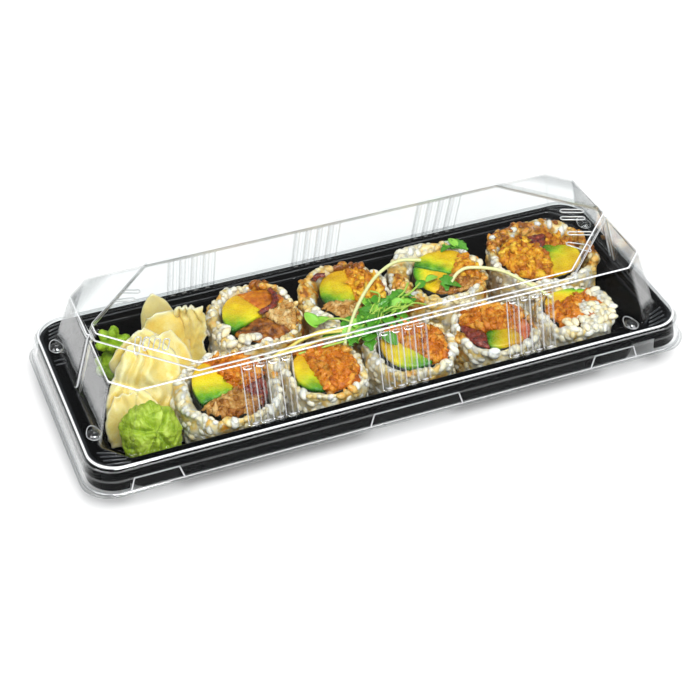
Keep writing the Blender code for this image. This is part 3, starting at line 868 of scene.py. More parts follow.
def grain_mesh():
    """A plump grain along X, blunter at one end and bent a little."""
    form = bmesh.new()
    bmesh.ops.create_uvsphere(form, u_segments=7, v_segments=6, radius=0.5)
    bmesh.ops.rotate(form, matrix=Matrix.Rotation(math.pi / 2, 3, "Y"), verts=form.verts)
    for vert in form.verts:
        t = vert.co.x * 2
        full = 1.0 + 0.22 * (1 - t * t) - 0.08 * t
        vert.co.y *= GRAIN_WIDTH * 0.85 * full
        vert.co.z *= GRAIN_WIDTH * 0.78 * full
        vert.co.x *= GRAIN_LENGTH
        vert.co.z -= 0.3 * t * t
    return mesh_from(form, "grain")


def join(form, shape, place):
    """Add a copy of a mesh to a bmesh, moved by a matrix."""
    copy = shape.copy()
    copy.transform(place)
    form.from_mesh(copy, face_normals=False, vertex_normals=False)
    bpy.data.meshes.remove(copy)


def spread(form, apart_by, tries, rng, keep):
    """Points on a surface at least apart_by millimetres from each other, with their normals."""
    triangles = form.calc_loop_triangles()
    areas = []
    for loops in triangles:
        a, b, c = (loop.vert.co for loop in loops)
        areas.append((b - a).cross(c - a).length)
    filled = {}
    found = []
    for loops in rng.choices(triangles, areas, k=tries):
        u, v = rng.random(), rng.random()
        if u + v > 1:
            u, v = 1 - u, 1 - v
        a, b, c = (loop.vert.co for loop in loops)
        point = a + (b - a) * u + (c - a) * v
        normal = loops[0].face.normal
        if not keep(point, normal):
            continue
        x, y, z = (math.floor(k / apart_by) for k in point)
        near = [filled.get((x + dx, y + dy, z + dz), []) for dx, dy, dz in NEIGHBOURS]
        if any((point - other).length < apart_by for group in near for other in group):
            continue
        filled.setdefault((x, y, z), []).append(point)
        found.append((point, normal.copy()))
    return found


def lying(point, normal, turn, tilt=0.0):
    """A matrix that lays a shape on a surface: its Z along the normal, turned about it."""
    place = Matrix.Translation(point) @ normal.to_track_quat("Z", "Y").to_matrix().to_4x4()
    return place @ Matrix.Rotation(turn, 4, "Z") @ Matrix.Rotation(tilt, 4, "Y")


grain = grain_mesh()
print("one grain:", len(grain.polygons), "faces")

# %% [markdown]
# ## Nine rings of rice
# The sauce isn't even: each roll has a few places on its ring where it soaked in. They are given
# as an angle round the roll, a width in degrees and a strength. Smooth noise then breaks each place
# up into patches a few millimetres wide, and leaves other grains white.

# %% Sauce on the rice
ROLLS = ["back_1", "back_2", "back_3", "back_4", "front_1", "front_2", "front_3", "front_4", "front_5"]
SAUCE = {
    "back_1": [(62, 28, 0.8), (-30, 55, 0.75), (150, 40, 0.25)],
    "back_2": [(72, 42, 1.0), (150, 50, 0.6), (-60, 60, 0.6)],
    "back_3": [(195, 70, 0.6), (60, 30, 0.4), (-20, 40, 0.8)],
    "back_4": [(115, 60, 1.0), (0, 50, 0.9), (60, 30, 0.8)],
    "front_1": [(35, 45, 1.0), (-110, 40, 0.4), (160, 40, 0.2)],
    "front_2": [(60, 60, 0.6), (-90, 60, 0.3), (150, 40, 0.4)],
    "front_3": [(-100, 60, 0.4), (20, 50, 0.3), (90, 40, 0.4)],
    "front_4": [(0, 50, 0.6), (180, 50, 0.5), (90, 50, 0.5)],
    "front_5": [(10, 50, 0.5), (120, 60, 0.6)],
}
EVERYWHERE = 0.16
ROLL_TOP = 20


def sauce_at(roll, centre, point):
    """How much sauce there is at a point of a roll, from 0 to 1."""
    angle = math.degrees(math.atan2(point.y - centre.y, point.x - centre.x))
    amount = EVERYWHERE + 0.12 * noise.noise(point * 0.15)
    for middle, width, strength in SAUCE[roll]:
        off = abs((angle - middle + 180) % 360 - 180) / width
        amount = max(amount, strength * max(0.0, 1 - off * off))
    return amount * (0.5 + 0.5 * min(1.0, point.z / ROLL_TOP))


def patchy(sauce, point):
    """The same amount in patches a few millimetres wide."""
    return max(0.0, sauce * (0.9 + 1.8 * noise.noise(point * 0.28)))


print("rolls:", len(ROLLS), "sauced places:", sum(len(places) for places in SAUCE.values()))

# %% [markdown]
# ## Grains on every roll
# Each packed ring is refined to a smooth core, swollen by noise, and covered with grains where it
# can be seen. The back rolls' rice is piled up at the rear, and the last of them spills over to the
# right. A grain gets its stain from the sauce at its place.

# %% Rice of every roll
GRAIN_SPACE = 2.2
GRAIN_TRIES = 9000
CUT_Z = 15  # what is higher belongs to a roll's cut face
PILE = 1.8
SPILL = 3.0


def refined_solid(node):
    """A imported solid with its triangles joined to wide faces, and then subdivided smoothly."""
    form = solid_copy(node)
    bmesh.ops.join_triangles(form, faces=form.faces, angle_face_threshold=0.6, angle_shape_threshold=3.1)
    return reshaped(form, "SUBSURF", levels=2, render_levels=2)


def share_past(value, start, length):
    """0 up to the start, and 1 a length further on."""
    return max(0.0, min(1.0, (value - start) / length))


sauced = []


def make_rice(roll, seed):
    """One roll's ring of grains. The places where crumbs of sauce stick are added to sauced."""
    rng = Random(seed)
    node = "roll_%s_rice" % roll
    low, high = box_mm(node)
    centre = (low + high) / 2
    form = refined_solid(node)
    form.normal_update()
    pile = PILE if roll.startswith("back") else 0.0
    spill = SPILL if roll == "back_4" else 0.0
    for vert in form.verts:
        outward = (vert.co - centre).to_2d().dot(vert.normal.to_2d())
        shown = outward > 0 or vert.normal.z > 0.5
        swell = 1.5 * noise.noise(vert.co * 0.22) + 0.6 * noise.noise(vert.co * 0.5)
        vert.co += vert.normal * (swell + (0.1 if shown else 0.25))
        vert.co.z += pile * share_past(vert.co.y - centre.y, 5, 9) * (vert.co.z > CUT_Z)
        vert.co.x += spill * share_past(vert.co.x - centre.x, 4, 10) * vert.co.z / ROLL_TOP
        vert.co.z = max(low.z + 0.1, vert.co.z)
    form.normal_update()

    def shows(point, normal):
        outward = (point - centre).to_2d().dot(normal.to_2d())
        return normal.z > 0.35 or (outward > 0 and normal.z > -0.3 and point.z > 1.5)

    places = spread(form, GRAIN_SPACE, GRAIN_TRIES, rng, shows)
    # The core shows only between the grains; its extra 0.13 of stain is painted shade there.
    values = [(patchy(sauce_at(roll, centre, v.co), v.co) + 0.13, 0.5) for v in form.verts]
    for point, normal in places:
        size = rng.uniform(0.72, 1.15)
        lift = rng.uniform(-1.2, -0.4)
        place = lying(point + normal * lift, normal, rng.uniform(0, math.pi), rng.uniform(-0.4, 0.4))
        join(form, grain, place @ Matrix.Diagonal((size * rng.uniform(0.8, 1.0), size, size, 1)))
        sauce = sauce_at(roll, centre, point)
        stain = patchy(sauce, point) * rng.uniform(0.85, 1.15)
        values += [(stain, rng.uniform(0.4, 1.0))] * len(grain.vertices)
        if normal.z > 0.3 and point.z > 16 and rng.random() < 0.22 * sauce * sauce:
            sauced.append((point + normal * 0.7, normal))
    for vert in form.verts:
        vert.co.z = max(low.z + 0.1, vert.co.z)
    piece = add_piece("rice_%s" % roll, form, rice_finish, [node])
    keep_values(piece, "stain", [max(0.0, stain) for stain, tone in values])
    keep_values(piece, "tone", [tone for stain, tone in values])
    return len(places)


counts = [make_rice(roll, 100 + i) for i, roll in enumerate(ROLLS)]
print("grains on the rolls:", counts, "places for crumbs:", len(sauced))

# %% [markdown]
# ## Seaweed
# The sheet between rice and fillings is a fraction of a millimetre thick, nearly black, and a bit
# wavy where the filling pushes it. It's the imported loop, refined and pushed about by smooth noise.

# %% Seaweed loops
def make_nori_finish():
    """Nearly black green with a fine fibre."""
    finish = Finish("nori")
    fibre = finish.noise(0.8, detail=4, roughness=0.7)
    color = finish.blend(fibre, paint("080B08"), paint("161D16"))
    return finish.surface(Base_Color=color, Roughness=0.3 + fibre * 0.3, Normal=finish.bump(fibre, 0.08))


nori_finish = make_nori_finish()
for roll in ROLLS:
    node = "roll_%s_nori" % roll
    form = refined_solid(node)
    for vert in form.verts:
        push = noise.noise(Vector((vert.co.x, vert.co.y, 0)) * 0.3) * 0.5
        vert.co.x += push
        vert.co.y += push * 0.7
        if vert.co.z > CUT_Z:
            vert.co.z += 0.5 * noise.noise(vert.co * 0.35) - 0.1
    add_piece("nori_%s" % roll, form, nori_finish, [node])
print("seaweed loops:", len(ROLLS))

# %% [markdown]
# ## Avocado's finish
# Avocado goes from yellow at the stone to green and dark green at the skin, along `skin`. Noise
# shifts that value, so the bands of colour wander as they do in the fruit. `tone` makes a piece
# duller. A thin coat gives the wet gloss of a fresh cut.

# %% Avocado's finish
def make_avocado():
    """Yellow to dark green along the value skin. A low tone gives a duller yellow."""
    finish = Finish("avocado")
    skin = finish.value("skin")
    tone = finish.value("tone")
    cloud = finish.noise(3.0, detail=4, roughness=0.6)
    fine = finish.noise(0.6, detail=3)
    along = (skin + (cloud - 0.5) * 0.34 + (fine - 0.5) * 0.10).limit()
    codes = ("E2B414", "EDD018", "E8DA1E", "BCCE1A", "70B012", "2E800C", "124206")
    color = finish.ramp(along, even_ramp((0.0, 0.2, 0.38, 0.54, 0.68, 0.8, 0.94), codes))
    shade = finish.blend(fine, paint("C09A1C"), paint("DCC040"))
    color = finish.blend((tone * -1.0).limit(), color, shade, "MULTIPLY")
    return finish.surface(
        Base_Color=color,
        Roughness=0.18 + fine * 0.2,
        Subsurface_Weight=0.12,
        Subsurface_Radius=(1.0, 0.9, 0.2),
        Subsurface_Scale=0.001,
        Specular_IOR_Level=0.45,
        Coat_Weight=0.25,
        Coat_Roughness=0.08,
        Normal=finish.bump(fine + cloud * 1.5, 0.25),
    )


avocado_finish = make_avocado()
print("finish:", avocado_finish.name)

# %% [markdown]
# ## Chopped fillings
# Chopped salmon in its dressing is orange with pale and brown bits, and crisp batter is tan to
# brown. They are the same graph with other colours: three ramps over one noise, mixed by `tone`,
# which differs from crumb to crumb.

# %% Finishes of salmon and batter
def make_salmon(name, flesh, pale, dark):
    """Chopped fish or batter: three ramps from its dark bits to its light ones, picked by tone."""
    finish = Finish(name)
    tone = finish.value("tone")
    cloud = finish.noise(2.8, detail=5, roughness=0.7)
    fine = finish.noise(0.45, detail=3, roughness=0.65)
    mix = cloud * 0.75 + fine * 0.25

    def colors(codes):
        return finish.ramp(mix, even_ramp((0.34, 0.46, 0.56, 0.68), codes))

    color = finish.blend((tone * -1.3).limit(), colors(flesh), colors(pale))
    color = finish.blend((tone * 1.3).limit(), color, colors(dark))
    return finish.surface(
        Base_Color=color,
        Roughness=0.25 + fine * 0.25,
        Subsurface_Weight=0.1,
        Subsurface_Radius=(1.0, 0.5, 0.1),
        Subsurface_Scale=0.0006,
        Specular_IOR_Level=0.25,
        Coat_Weight=0.22,
        Coat_Roughness=0.1,
        Normal=finish.bump(fine, 0.3),
    )


salmon_finish = make_salmon(
    "salmon",
    ["7A3C04", "C26809", "DD8616", "F0AC48"],
    ["A45E0A", "DC9224", "EEB64C", "F8D888"],
    ["6C2E06", "B05608", "CC7216", "E2943C"],
)
dressed_finish = make_salmon(
    "dressed_salmon",
    ["8C4604", "C9780A", "E09A14", "F0BE3C"],
    ["B87A10", "E6AC20", "F4CE40", "F9E27C"],
    ["6A2E04", "9C4E08", "B96A14", "D08C34"],
)
batter_finish = make_salmon(
    "batter",
    ["8A5418", "B98238", "D0A058", "E6C48A"],
    ["A87A38", "D2AE6E", "E4C890", "F2E0B8"],
    ["54280A", "84480E", "A4661E", "C48A3C"],
)
print("finishes:", salmon_finish.name, dressed_finish.name, batter_finish.name)

# %% [markdown]
# ## Dark strips and orange baton
# The dark strips are wet and maroon with paler streaks. The orange baton is glazed, and the same
# finish serves for a red strip and for a dark dressed piece, by `tone`.

# %% Finishes of strips and baton
def make_beet():
    """Wet dark red with paler streaks."""
    finish = Finish("beet")
    cloud = finish.noise(1.8, detail=3)
    streak = finish.noise(0.6, detail=2, distortion=1.5)
    stops = even_ramp((0.34, 0.48, 0.58, 0.7), ("2A0A08", "6A1C12", "93361F", "C47A5C"))
    color = finish.ramp(cloud * 0.6 + streak * 0.4, stops)
    return finish.surface(
        Base_Color=color,
        Roughness=0.14 + streak * 0.2,
        Subsurface_Weight=0.1,
        Subsurface_Radius=(1.0, 0.3, 0.2),
        Subsurface_Scale=0.0008,
        Coat_Weight=0.5,
        Coat_Roughness=0.08,
        Normal=finish.bump(streak, 0.2),
    )


def make_carrot():
    """Glazed orange. A high tone turns it red, and a low one deep brown-orange."""
    finish = Finish("carrot")
    tone = finish.value("tone")
    cloud = finish.noise(3.0, detail=3)
    fine = finish.noise(0.5, detail=2)
    color = finish.ramp(cloud, even_ramp((0.3, 0.5, 0.7), ("A85404", "CC7406", "E39A12")))
    red = finish.ramp(cloud, even_ramp((0.3, 0.55, 0.75), ("98341C", "C65A34", "DE8460")))
    color = finish.blend(tone.limit(), color, red)
    deep = finish.ramp(cloud, even_ramp((0.35, 0.5, 0.68), ("4A2204", "7E440A", "B4701A")))
    color = finish.blend((tone * -1.2).limit(), color, deep)
    return finish.surface(
        Base_Color=color,
        Roughness=0.18 + fine * 0.14,
        Subsurface_Weight=0.2,
        Subsurface_Radius=(1.0, 0.5, 0.15),
        Subsurface_Scale=0.0015,
        Specular_IOR_Level=0.4,
        Coat_Weight=0.5,
        Coat_Roughness=0.08,
        Normal=finish.bump(fine + cloud * 2, 0.3),
    )


beet_finish = make_beet()
carrot_finish = make_carrot()
print("finishes:", beet_finish.name, carrot_finish.name)

# %% [markdown]
# ## One filling
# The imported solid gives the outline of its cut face. A fine grid is laid over it, and a plane
# along every side of the outline cuts the rest away. The planes lie a little outside, so that
# neighbours touch and no gap shows. Then the top is crowned and roughened, its rim is pulled down,
# and the sides run to the bottom.

# %% Cut-face outline
SHORTEST = 0.05  # a shorter side has no clear direction


def cut_outline(node):
    """A filling's cut face: its corners in order, its middle, and how far its foot leans from it."""
    form = solid_copy(node)
    top = [v.co.copy() for v in form.verts if v.co.z > CUT_Z]
    foot = [v.co.copy() for v in form.verts if v.co.z <= CUT_Z]
    form.free()
    middle = sum(top, Vector()) / len(top)
    top.sort(key=lambda p: math.atan2(p.y - middle.y, p.x - middle.x))
    return top, middle, sum(foot, Vector()) / len(foot) - middle


def rounded(corners, radius):
    """A closed outline with each corner cut by a small arc."""
    points = []
    for i, corner in enumerate(corners):
        before, after = corners[i - 1], corners[(i + 1) % len(corners)]
        start = corner.lerp(before, min(0.5, radius / (before - corner).length))
        end = corner.lerp(after, min(0.5, radius / (after - corner).length))
        points += soft_turn(start, corner, end, 3)
    return points


def grid_inside(corners, overlap, step):
    """A flat grid cut to a convex outline, and a little more all round."""
    low = Vector([min(p[i] for p in corners) - 1 for i in range(2)])
    high = Vector([max(p[i] for p in corners) + 1 for i in range(2)])
    size = high - low
    form = bmesh.new()
    bmesh.ops.create_grid(form, x_segments=int(size.x / step), y_segments=int(size.y / step), size=0.5)
    bmesh.ops.scale(form, vec=(size.x, size.y, 1), verts=form.verts)
    bmesh.ops.translate(form, vec=(*(low + high) / 2, 0), verts=form.verts)
    for a, b in zip(corners, corners[1:] + corners[:1]):
        side = (b - a).to_2d()
        if side.length < SHORTEST:
            continue
        out = Vector((side.y, -side.x, 0)).normalized()
        cut_away(form, Vector((a.x, a.y, 0)) + out * overlap, out)
    bmesh.ops.remove_doubles(form, verts=form.verts, dist=0.08)
    return form


print("corners of the first filling's cut face:", len(cut_outline("roll_back_1_avocado")[0]))

# %% [markdown]
# ## Relief of each filling
# A knife leaves avocado smooth, chopped fish lumpy and batter crumbly. Each kind has its own crown,
# rim and lumps. Lumps come from the distance to the nearest of many scattered points, which gives
# rounded tops with narrow valleys between them.

# %% Relief of each kind
Kind = namedtuple("Kind", "crown rim drop lump lump_size fine overlap radius")
KINDS = {
    "avocado": Kind(0.2, 0.6, 0.4, 0.25, 4.5, 0.1, 0.35, 1.6),
    "salmon": Kind(1.4, 1.3, 0.9, 1.1, 3.0, 0.5, 0.4, 2.4),
    "tempura": Kind(0.7, 0.9, 0.7, 0.9, 2.2, 0.4, 0.4, 1.8),
    "beet": Kind(0.5, 0.9, 0.6, 0.7, 2.2, 0.3, 0.3, 1.4),
    "carrot": Kind(0.6, 1.2, 0.7, 0.3, 3.6, 0.1, 0.35, 2.2),
}


def lumps(point, size):
    """Rounded lumps about size millimetres across, from 0 between them to 1 on top."""
    near = noise.voronoi(point / size)[0]
    return 1 - min(1.0, near[0] * 1.2) ** 2


def edge_distance(point, corners):
    """How far inside a convex outline a point is."""
    nearest = 1e9
    for a, b in zip(corners, corners[1:] + corners[:1]):
        side = (b - a).to_2d()
        if side.length > SHORTEST:
            out = Vector((side.y, -side.x)).normalized()
            nearest = min(nearest, (a.to_2d() - point.to_2d()).dot(out))
    return nearest


def raise_top(form, kind, corners, face_height, seed):
    """Crown a flat grid, roughen it and pull its rim down."""
    shift = Vector((seed * 7.3, seed * 3.1, 0))
    for vert in form.verts:
        point = vert.co.copy()
        inside = max(0.0, edge_distance(point, corners) + kind.overlap)
        rim = max(0.0, 1 - inside / kind.rim) ** 2
        rise = kind.crown * (1 - math.exp(-inside / 3)) - kind.drop * rim
        rise += kind.lump * (lumps(point + shift, kind.lump_size) - 0.5) * (1 - 0.5 * rim)
        rise += kind.fine * noise.noise((point + shift) * 1.8)
        vert.co.z = face_height(point) + rise


print("kinds of relief:", ", ".join(KINDS))

# %% [markdown]
# ## A look for every filling
# Each filling is named after the solid it stands for. `skin` is the direction in which an avocado
# turns green, in degrees. `tone` shifts its colours, and `raise_by` moves its top up or down from
# the solid's. Pieces with `crumbs` also get loose ones on top.

# %% Looks of the fillings
Look = namedtuple("Look", "tone skin crumbs raise_by finish")
LOOKS = {
    "back_1_avocado": Look(-0.25, -122, 0, 0.6, avocado_finish),
    "back_1_carrot": Look(0, 0, 0, 0.4, carrot_finish),
    "back_1_tempura": Look(-0.3, 0, 1, 0.3, batter_finish),
    "back_1_salmon": Look(-0.9, 0, 0, -0.8, carrot_finish),
    "back_2_avocado": Look(-0.5, -132, 0, 0.6, avocado_finish),
    "back_2_salmon": Look(-0.1, 0, 1, 0.6, dressed_finish),
    "back_2_tempura": Look(-0.1, 0, 1, 0.0, batter_finish),
    "back_3_avocado": Look(-0.2, -142, 0, 0.8, avocado_finish),
    "back_3_avocado_end": Look(0, 158, 0, 0.2, avocado_finish),
    "back_3_salmon": Look(0.0, 0, 1, 0.6, dressed_finish),
    "back_3_tempura": Look(0.5, 0, 1, 0.2, batter_finish),
    "back_4_avocado": Look(-0.5, 120, 0, 0.5, avocado_finish),
    "back_4_salmon": Look(0.0, 0, 1, 0.8, dressed_finish),
    "back_4_beet": Look(0, 0, 0, 0.2, beet_finish),
    "back_4_tempura": Look(0.4, 0, 1, 0.2, dressed_finish),
    "front_1_avocado": Look(-0.05, -102, 0, 0.8, avocado_finish),
    "front_1_salmon": Look(0.2, 0, 1, 0.8, salmon_finish),
    "front_1_tempura": Look(0.3, 0, 1, 0.3, batter_finish),
    "front_1_beet": Look(0, 0, 0, 0.0, beet_finish),
    "front_2_avocado": Look(-0.25, -82, 0, 0.5, avocado_finish),
    "front_2_salmon": Look(0.05, 0, 1, 0.8, salmon_finish),
    "front_3_avocado": Look(-0.2, -52, 0, 0.6, avocado_finish),
    "front_3_salmon": Look(0.0, 0, 1, 0.8, salmon_finish),
    "front_4_avocado": Look(-0.6, 150, 0, 0.4, avocado_finish),
    "front_4_salmon": Look(-0.05, 0, 1, 0.9, salmon_finish),
    "front_4_beet": Look(0, 0, 0, 0.2, beet_finish),
    "front_4_carrot": Look(0.8, 0, 0, 0.2, carrot_finish),
    "front_5_avocado": Look(0, 60, 0, 0.4, avocado_finish),
    "front_5_salmon": Look(0.1, 0, 1, 0.1, salmon_finish),
}
print("fillings:", len(LOOKS), "with crumbs:", sum(look.crumbs for look in LOOKS.values()))

# %% [markdown]
# ## Crumbs
# A crumb is a small ball that noise has dented and a scale has stretched. Five different ones are
# enough, because each is turned, sunk and scaled by its own random numbers.

# %% Crumbs
def crumb_mesh(seed, long_by):
    """A small irregular crumb."""
    form = bmesh.new()
    bmesh.ops.create_icosphere(form, subdivisions=2, radius=0.5)
    for vert in form.verts:
        vert.co *= 1 + 0.9 * noise.noise(vert.co * 2.8 + Vector((seed, 0, 0)))
        vert.co.x *= long_by
        vert.co.z *= 0.75
    return mesh_from(form, "crumb")


CRUMB_SHAPES = [(1, 1.3), (5, 1.9), (9, 1.1), (14, 1.5), (23, 1.2)]
CRUMBS = [crumb_mesh(seed, long_by) for seed, long_by in CRUMB_SHAPES]


def scatter_crumbs(form, places, size, rng):
    """Crumbs of mixed sizes, half sunk. Returns the number of vertices of each."""
    sizes = []
    for point, normal in places:
        shape = rng.choice(CRUMBS)
        grow = size * rng.uniform(0.45, 1.3)
        sunk = point + normal * rng.uniform(-0.65, -0.05)
        place = lying(sunk, normal, rng.uniform(0, 6.3), rng.uniform(-0.7, 0.7))
        join(form, shape, place @ Matrix.Diagonal((grow, grow, grow, 1)))
        sizes.append(len(shape.vertices))
    return sizes


print("crumbs to choose from:", len(CRUMBS))

# %% [markdown]
# ## Sides of a filling
# The rim of a finished top is extruded downwards in three steps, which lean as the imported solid
# does. An avocado's skin also shows down its side, so its vertices get their `skin` value after
# the sides exist.

# %% Sides and skin
FLOOR_Z = 1.0
SIDE_STEPS = [(1.2, 0.0), (6.0, 0.25), (19.0, 0.75)]  # the depth and the share of the lean


def plane_of(corners):
    """The height of the plane through a nearly flat outline, as a function."""
    middle = sum(corners, Vector()) / len(corners)
    normal = Vector()
    for a, b in zip(corners, corners[1:] + corners[:1]):
        normal += (a - middle).cross(b - middle)
    normal.normalize()
    return lambda p: middle.z - (normal.x * (p.x - middle.x) + normal.y * (p.y - middle.y)) / normal.z


def pull_sides_down(form, face_height, lean):
    """Extrude the rim of a top down to the bottom, with the filling's lean, and close it."""
    rim = [e for e in form.edges if e.is_boundary]
    for depth, share in SIDE_STEPS:
        made = bmesh.ops.extrude_edge_only(form, edges=rim)
        rim = [item for item in made["geom"] if isinstance(item, bmesh.types.BMEdge)]
        for vert in {v for e in rim for v in e.verts}:
            base = face_height(vert.co)
            vert.co.z = max(FLOOR_Z, min(vert.co.z, base) - depth)
            vert.co.y += lean.y * share
    bmesh.ops.holes_fill(form, edges=rim, sides=0)
    bmesh.ops.recalc_face_normals(form, faces=form.faces)
    form.normal_update()


def skin_values(form, corners, middle, heading, face_height):
    """How near each vertex is to an avocado's skin: towards its heading, and down its side there."""
    toward = Vector((math.cos(math.radians(heading)), math.sin(math.radians(heading))))
    reach = max((p - middle).to_2d().dot(toward) for p in corners)
    values = []
    for vert in form.verts:
        along = (vert.co - middle).to_2d().dot(toward) / reach
        below = min(1.0, max(0.0, face_height(vert.co) - vert.co.z - 0.3))
        values.append(min(1.0, max(0.0, 0.32 + 0.5 * along) + 0.22 * below * (along > 0.1)))
    return values


print("steps of a side:", len(SIDE_STEPS))

# %% [markdown]
# ## All fillings
# The steps come together: outline, grid, relief, crumbs, sides. The crumbs' places are drawn
# before the sides exist, so that they depend on nothing but the top.

# %% Filling pieces
GRID_STEP = 0.5
SALMON_CRUMBS = (2.7, 1.6)  # size and space
OTHER_CRUMBS = (2.0, 1.3)
CRUMB_TRIES = 450


def make_filling(name, look, seed):
    """One filling, from its solid's cut face. Returns how many faces it has."""
    rng = Random(seed)
    node = "roll_" + name
    family = next(family for family in KINDS if "_" + family in name)
    kind = KINDS[family]
    corners, middle, lean = cut_outline(node)
    corners = rounded(corners, kind.radius)
    slope = plane_of(corners)

    def face_height(point):
        return slope(point) + look.raise_by

    form = grid_inside(corners, kind.overlap, GRID_STEP)
    raise_top(form, kind, corners, face_height, seed)
    form.normal_update()
    size, space = SALMON_CRUMBS if family == "salmon" else OTHER_CRUMBS
    places = []
    if look.crumbs:
        places = spread(form, space, CRUMB_TRIES, rng, lambda point, normal: normal.z > 0.2)
    pull_sides_down(form, face_height, lean)
    tones = [look.tone + 0.5 * noise.noise(v.co * 0.3) for v in form.verts]
    skins = skin_values(form, corners, middle, look.skin, face_height) if family == "avocado" else []
    for count in scatter_crumbs(form, places, size, rng):
        tones += [look.tone + rng.uniform(-0.7, 0.6)] * count
    piece = add_piece("filling_" + name, form, look.finish, [node])
    if skins:
        keep_values(piece, "skin", skins)
    keep_values(piece, "tone", tones)
    return len(piece.data.polygons)


total = sum(make_filling(name, look, 300 + i) for i, (name, look) in enumerate(LOOKS.items()))
print("fillings:", len(LOOKS), "with", total, "faces")

# %% [markdown]
# ## Bits of sauce and dark strips
# Crisp brown bits cling where the sauce ran over the rice. They sit at the places kept while the
# rice was made. Two thin maroon strips lie across the back rolls: a strip is a bead along a path,
# pressed flat.

# %% Bits on the rice
rng = Random(41)
bits_form = bmesh.new()
bits = [place for place in sauced if rng.random() < 0.8]
bit_tones = []
for count in scatter_crumbs(bits_form, bits, 1.7, rng):
    bit_tones += [rng.uniform(-0.2, 1.0)] * count
bits_piece = add_piece("sauce_bits", bits_form, batter_finish)
keep_values(bits_piece, "tone", bit_tones)

STRIPS = [
    [(-24.0, 26.5, 22.8), (-23.6, 22.5, 23.4), (-24.6, 18.6, 23.2), (-28.0, 16.0, 22.8),
     (-32.0, 14.6, 22.4)],
    [(-7.4, 25.4, 22.8), (-5.0, 27.2, 23.2), (-2.2, 26.8, 23.0)],
]
PATH_STEPS = 8
STRIP_Z = 23.0
strip_form = beads([through(path, PATH_STEPS) for path in STRIPS], 2.4, closed=False)
for vert in strip_form.verts:
    vert.co += 0.5 * noise.noise_vector(vert.co * 0.6)
    vert.co.z = STRIP_Z + (vert.co.z - STRIP_Z) * 0.6
add_piece("dark_strips", strip_form, beet_finish)
print("bits:", len(bits), "strips:", len(STRIPS))

# %% [markdown]
# ## Loose rice
# A few grains lie over the cut faces, where the knife dragged them. Each heap is a flat ellipse on
# top of a roll, and its grains are highest in its middle.

# %% Loose grains
HEAPS = [
    (81.0, -27.0, 21.4, 6.5, 6.5, 36), (74.0, -31.0, 21.0, 7.0, 4.0, 20), (84.5, -20.5, 21.2, 3.5, 5.0, 13),
    (-46.6, 10.0, 21.6, 1.0, 3.0, 4), (-40.0, 2.6, 21.7, 4.0, 1.8, 7),
    (53.0, 14.0, 21.6, 1.6, 4.0, 5), (-35.5, -15.0, 21.6, 2.0, 4.0, 5),
]
rng = Random(77)
loose_form = bmesh.new()
loose = []
for x, y, z, reach_x, reach_y, count in HEAPS:
    for _ in range(count):
        turn, out = rng.uniform(0, 2 * math.pi), math.sqrt(rng.random())
        spot = Vector((x + reach_x * out * math.cos(turn), y + reach_y * out * math.sin(turn), z))
        spot.z += 1.4 * (1 - out * out) + rng.uniform(-0.3, 0.3)
        place = lying(spot, Vector((0, 0, 1)), rng.uniform(0, math.pi), rng.uniform(-0.4, 0.4))
        join(loose_form, grain, place @ Matrix.Scale(rng.uniform(0.9, 1.15), 4))
        loose.append((rng.uniform(0.0, 0.3), rng.uniform(0.1, 0.9)))
loose_piece = add_piece("loose_rice", loose_form, rice_finish)
keep_values(loose_piece, "stain", [stain for stain, tone in loose for _ in grain.vertices])
keep_values(loose_piece, "tone", [tone for stain, tone in loose for _ in grain.vertices])
print("loose grains:", len(loose))

# %% [markdown]
# ## Pickled ginger
# Thin moist slices, folded and leaning on each other. Light passes far into a slice, which makes
# its folds glow yellow, and its rim is paler and a little see-through. Each slice is given by its
# two side edges, as smooth paths from the foot to the top, and by how it bulges and pleats.

# %% Ginger's finish and shapes
def make_ginger():
    """Pale yellow flesh that light passes into, paler and thinner at the rim, painted paler near the top.
    """
    finish = Finish("ginger")
    edge = finish.value("edge")
    cloud = finish.noise(7.0, detail=3)
    fibre = finish.noise(0.8, detail=3, distortion=0.6)
    stops = even_ramp((0.34, 0.48, 0.66), ("EFC04C", "F5D36C", "F9E6A4"))
    body = finish.ramp(cloud * 0.8 + fibre * 0.2, stops)
    color = finish.blend(edge, body, paint("FCF2C4"))
    return finish.surface(
        Base_Color=color,
        Roughness=0.2 + fibre * 0.2,
        Alpha=(1.0 - edge * 0.15).limit(),
        Subsurface_Weight=0.55,
        Subsurface_Radius=(1.0, 0.85, 0.3),
        Subsurface_Scale=0.0025,
        Specular_IOR_Level=0.4,
        Coat_Weight=0.2,
        Coat_Roughness=0.1,
        Normal=finish.bump(fibre * 0.4 + cloud, 0.25),
    )


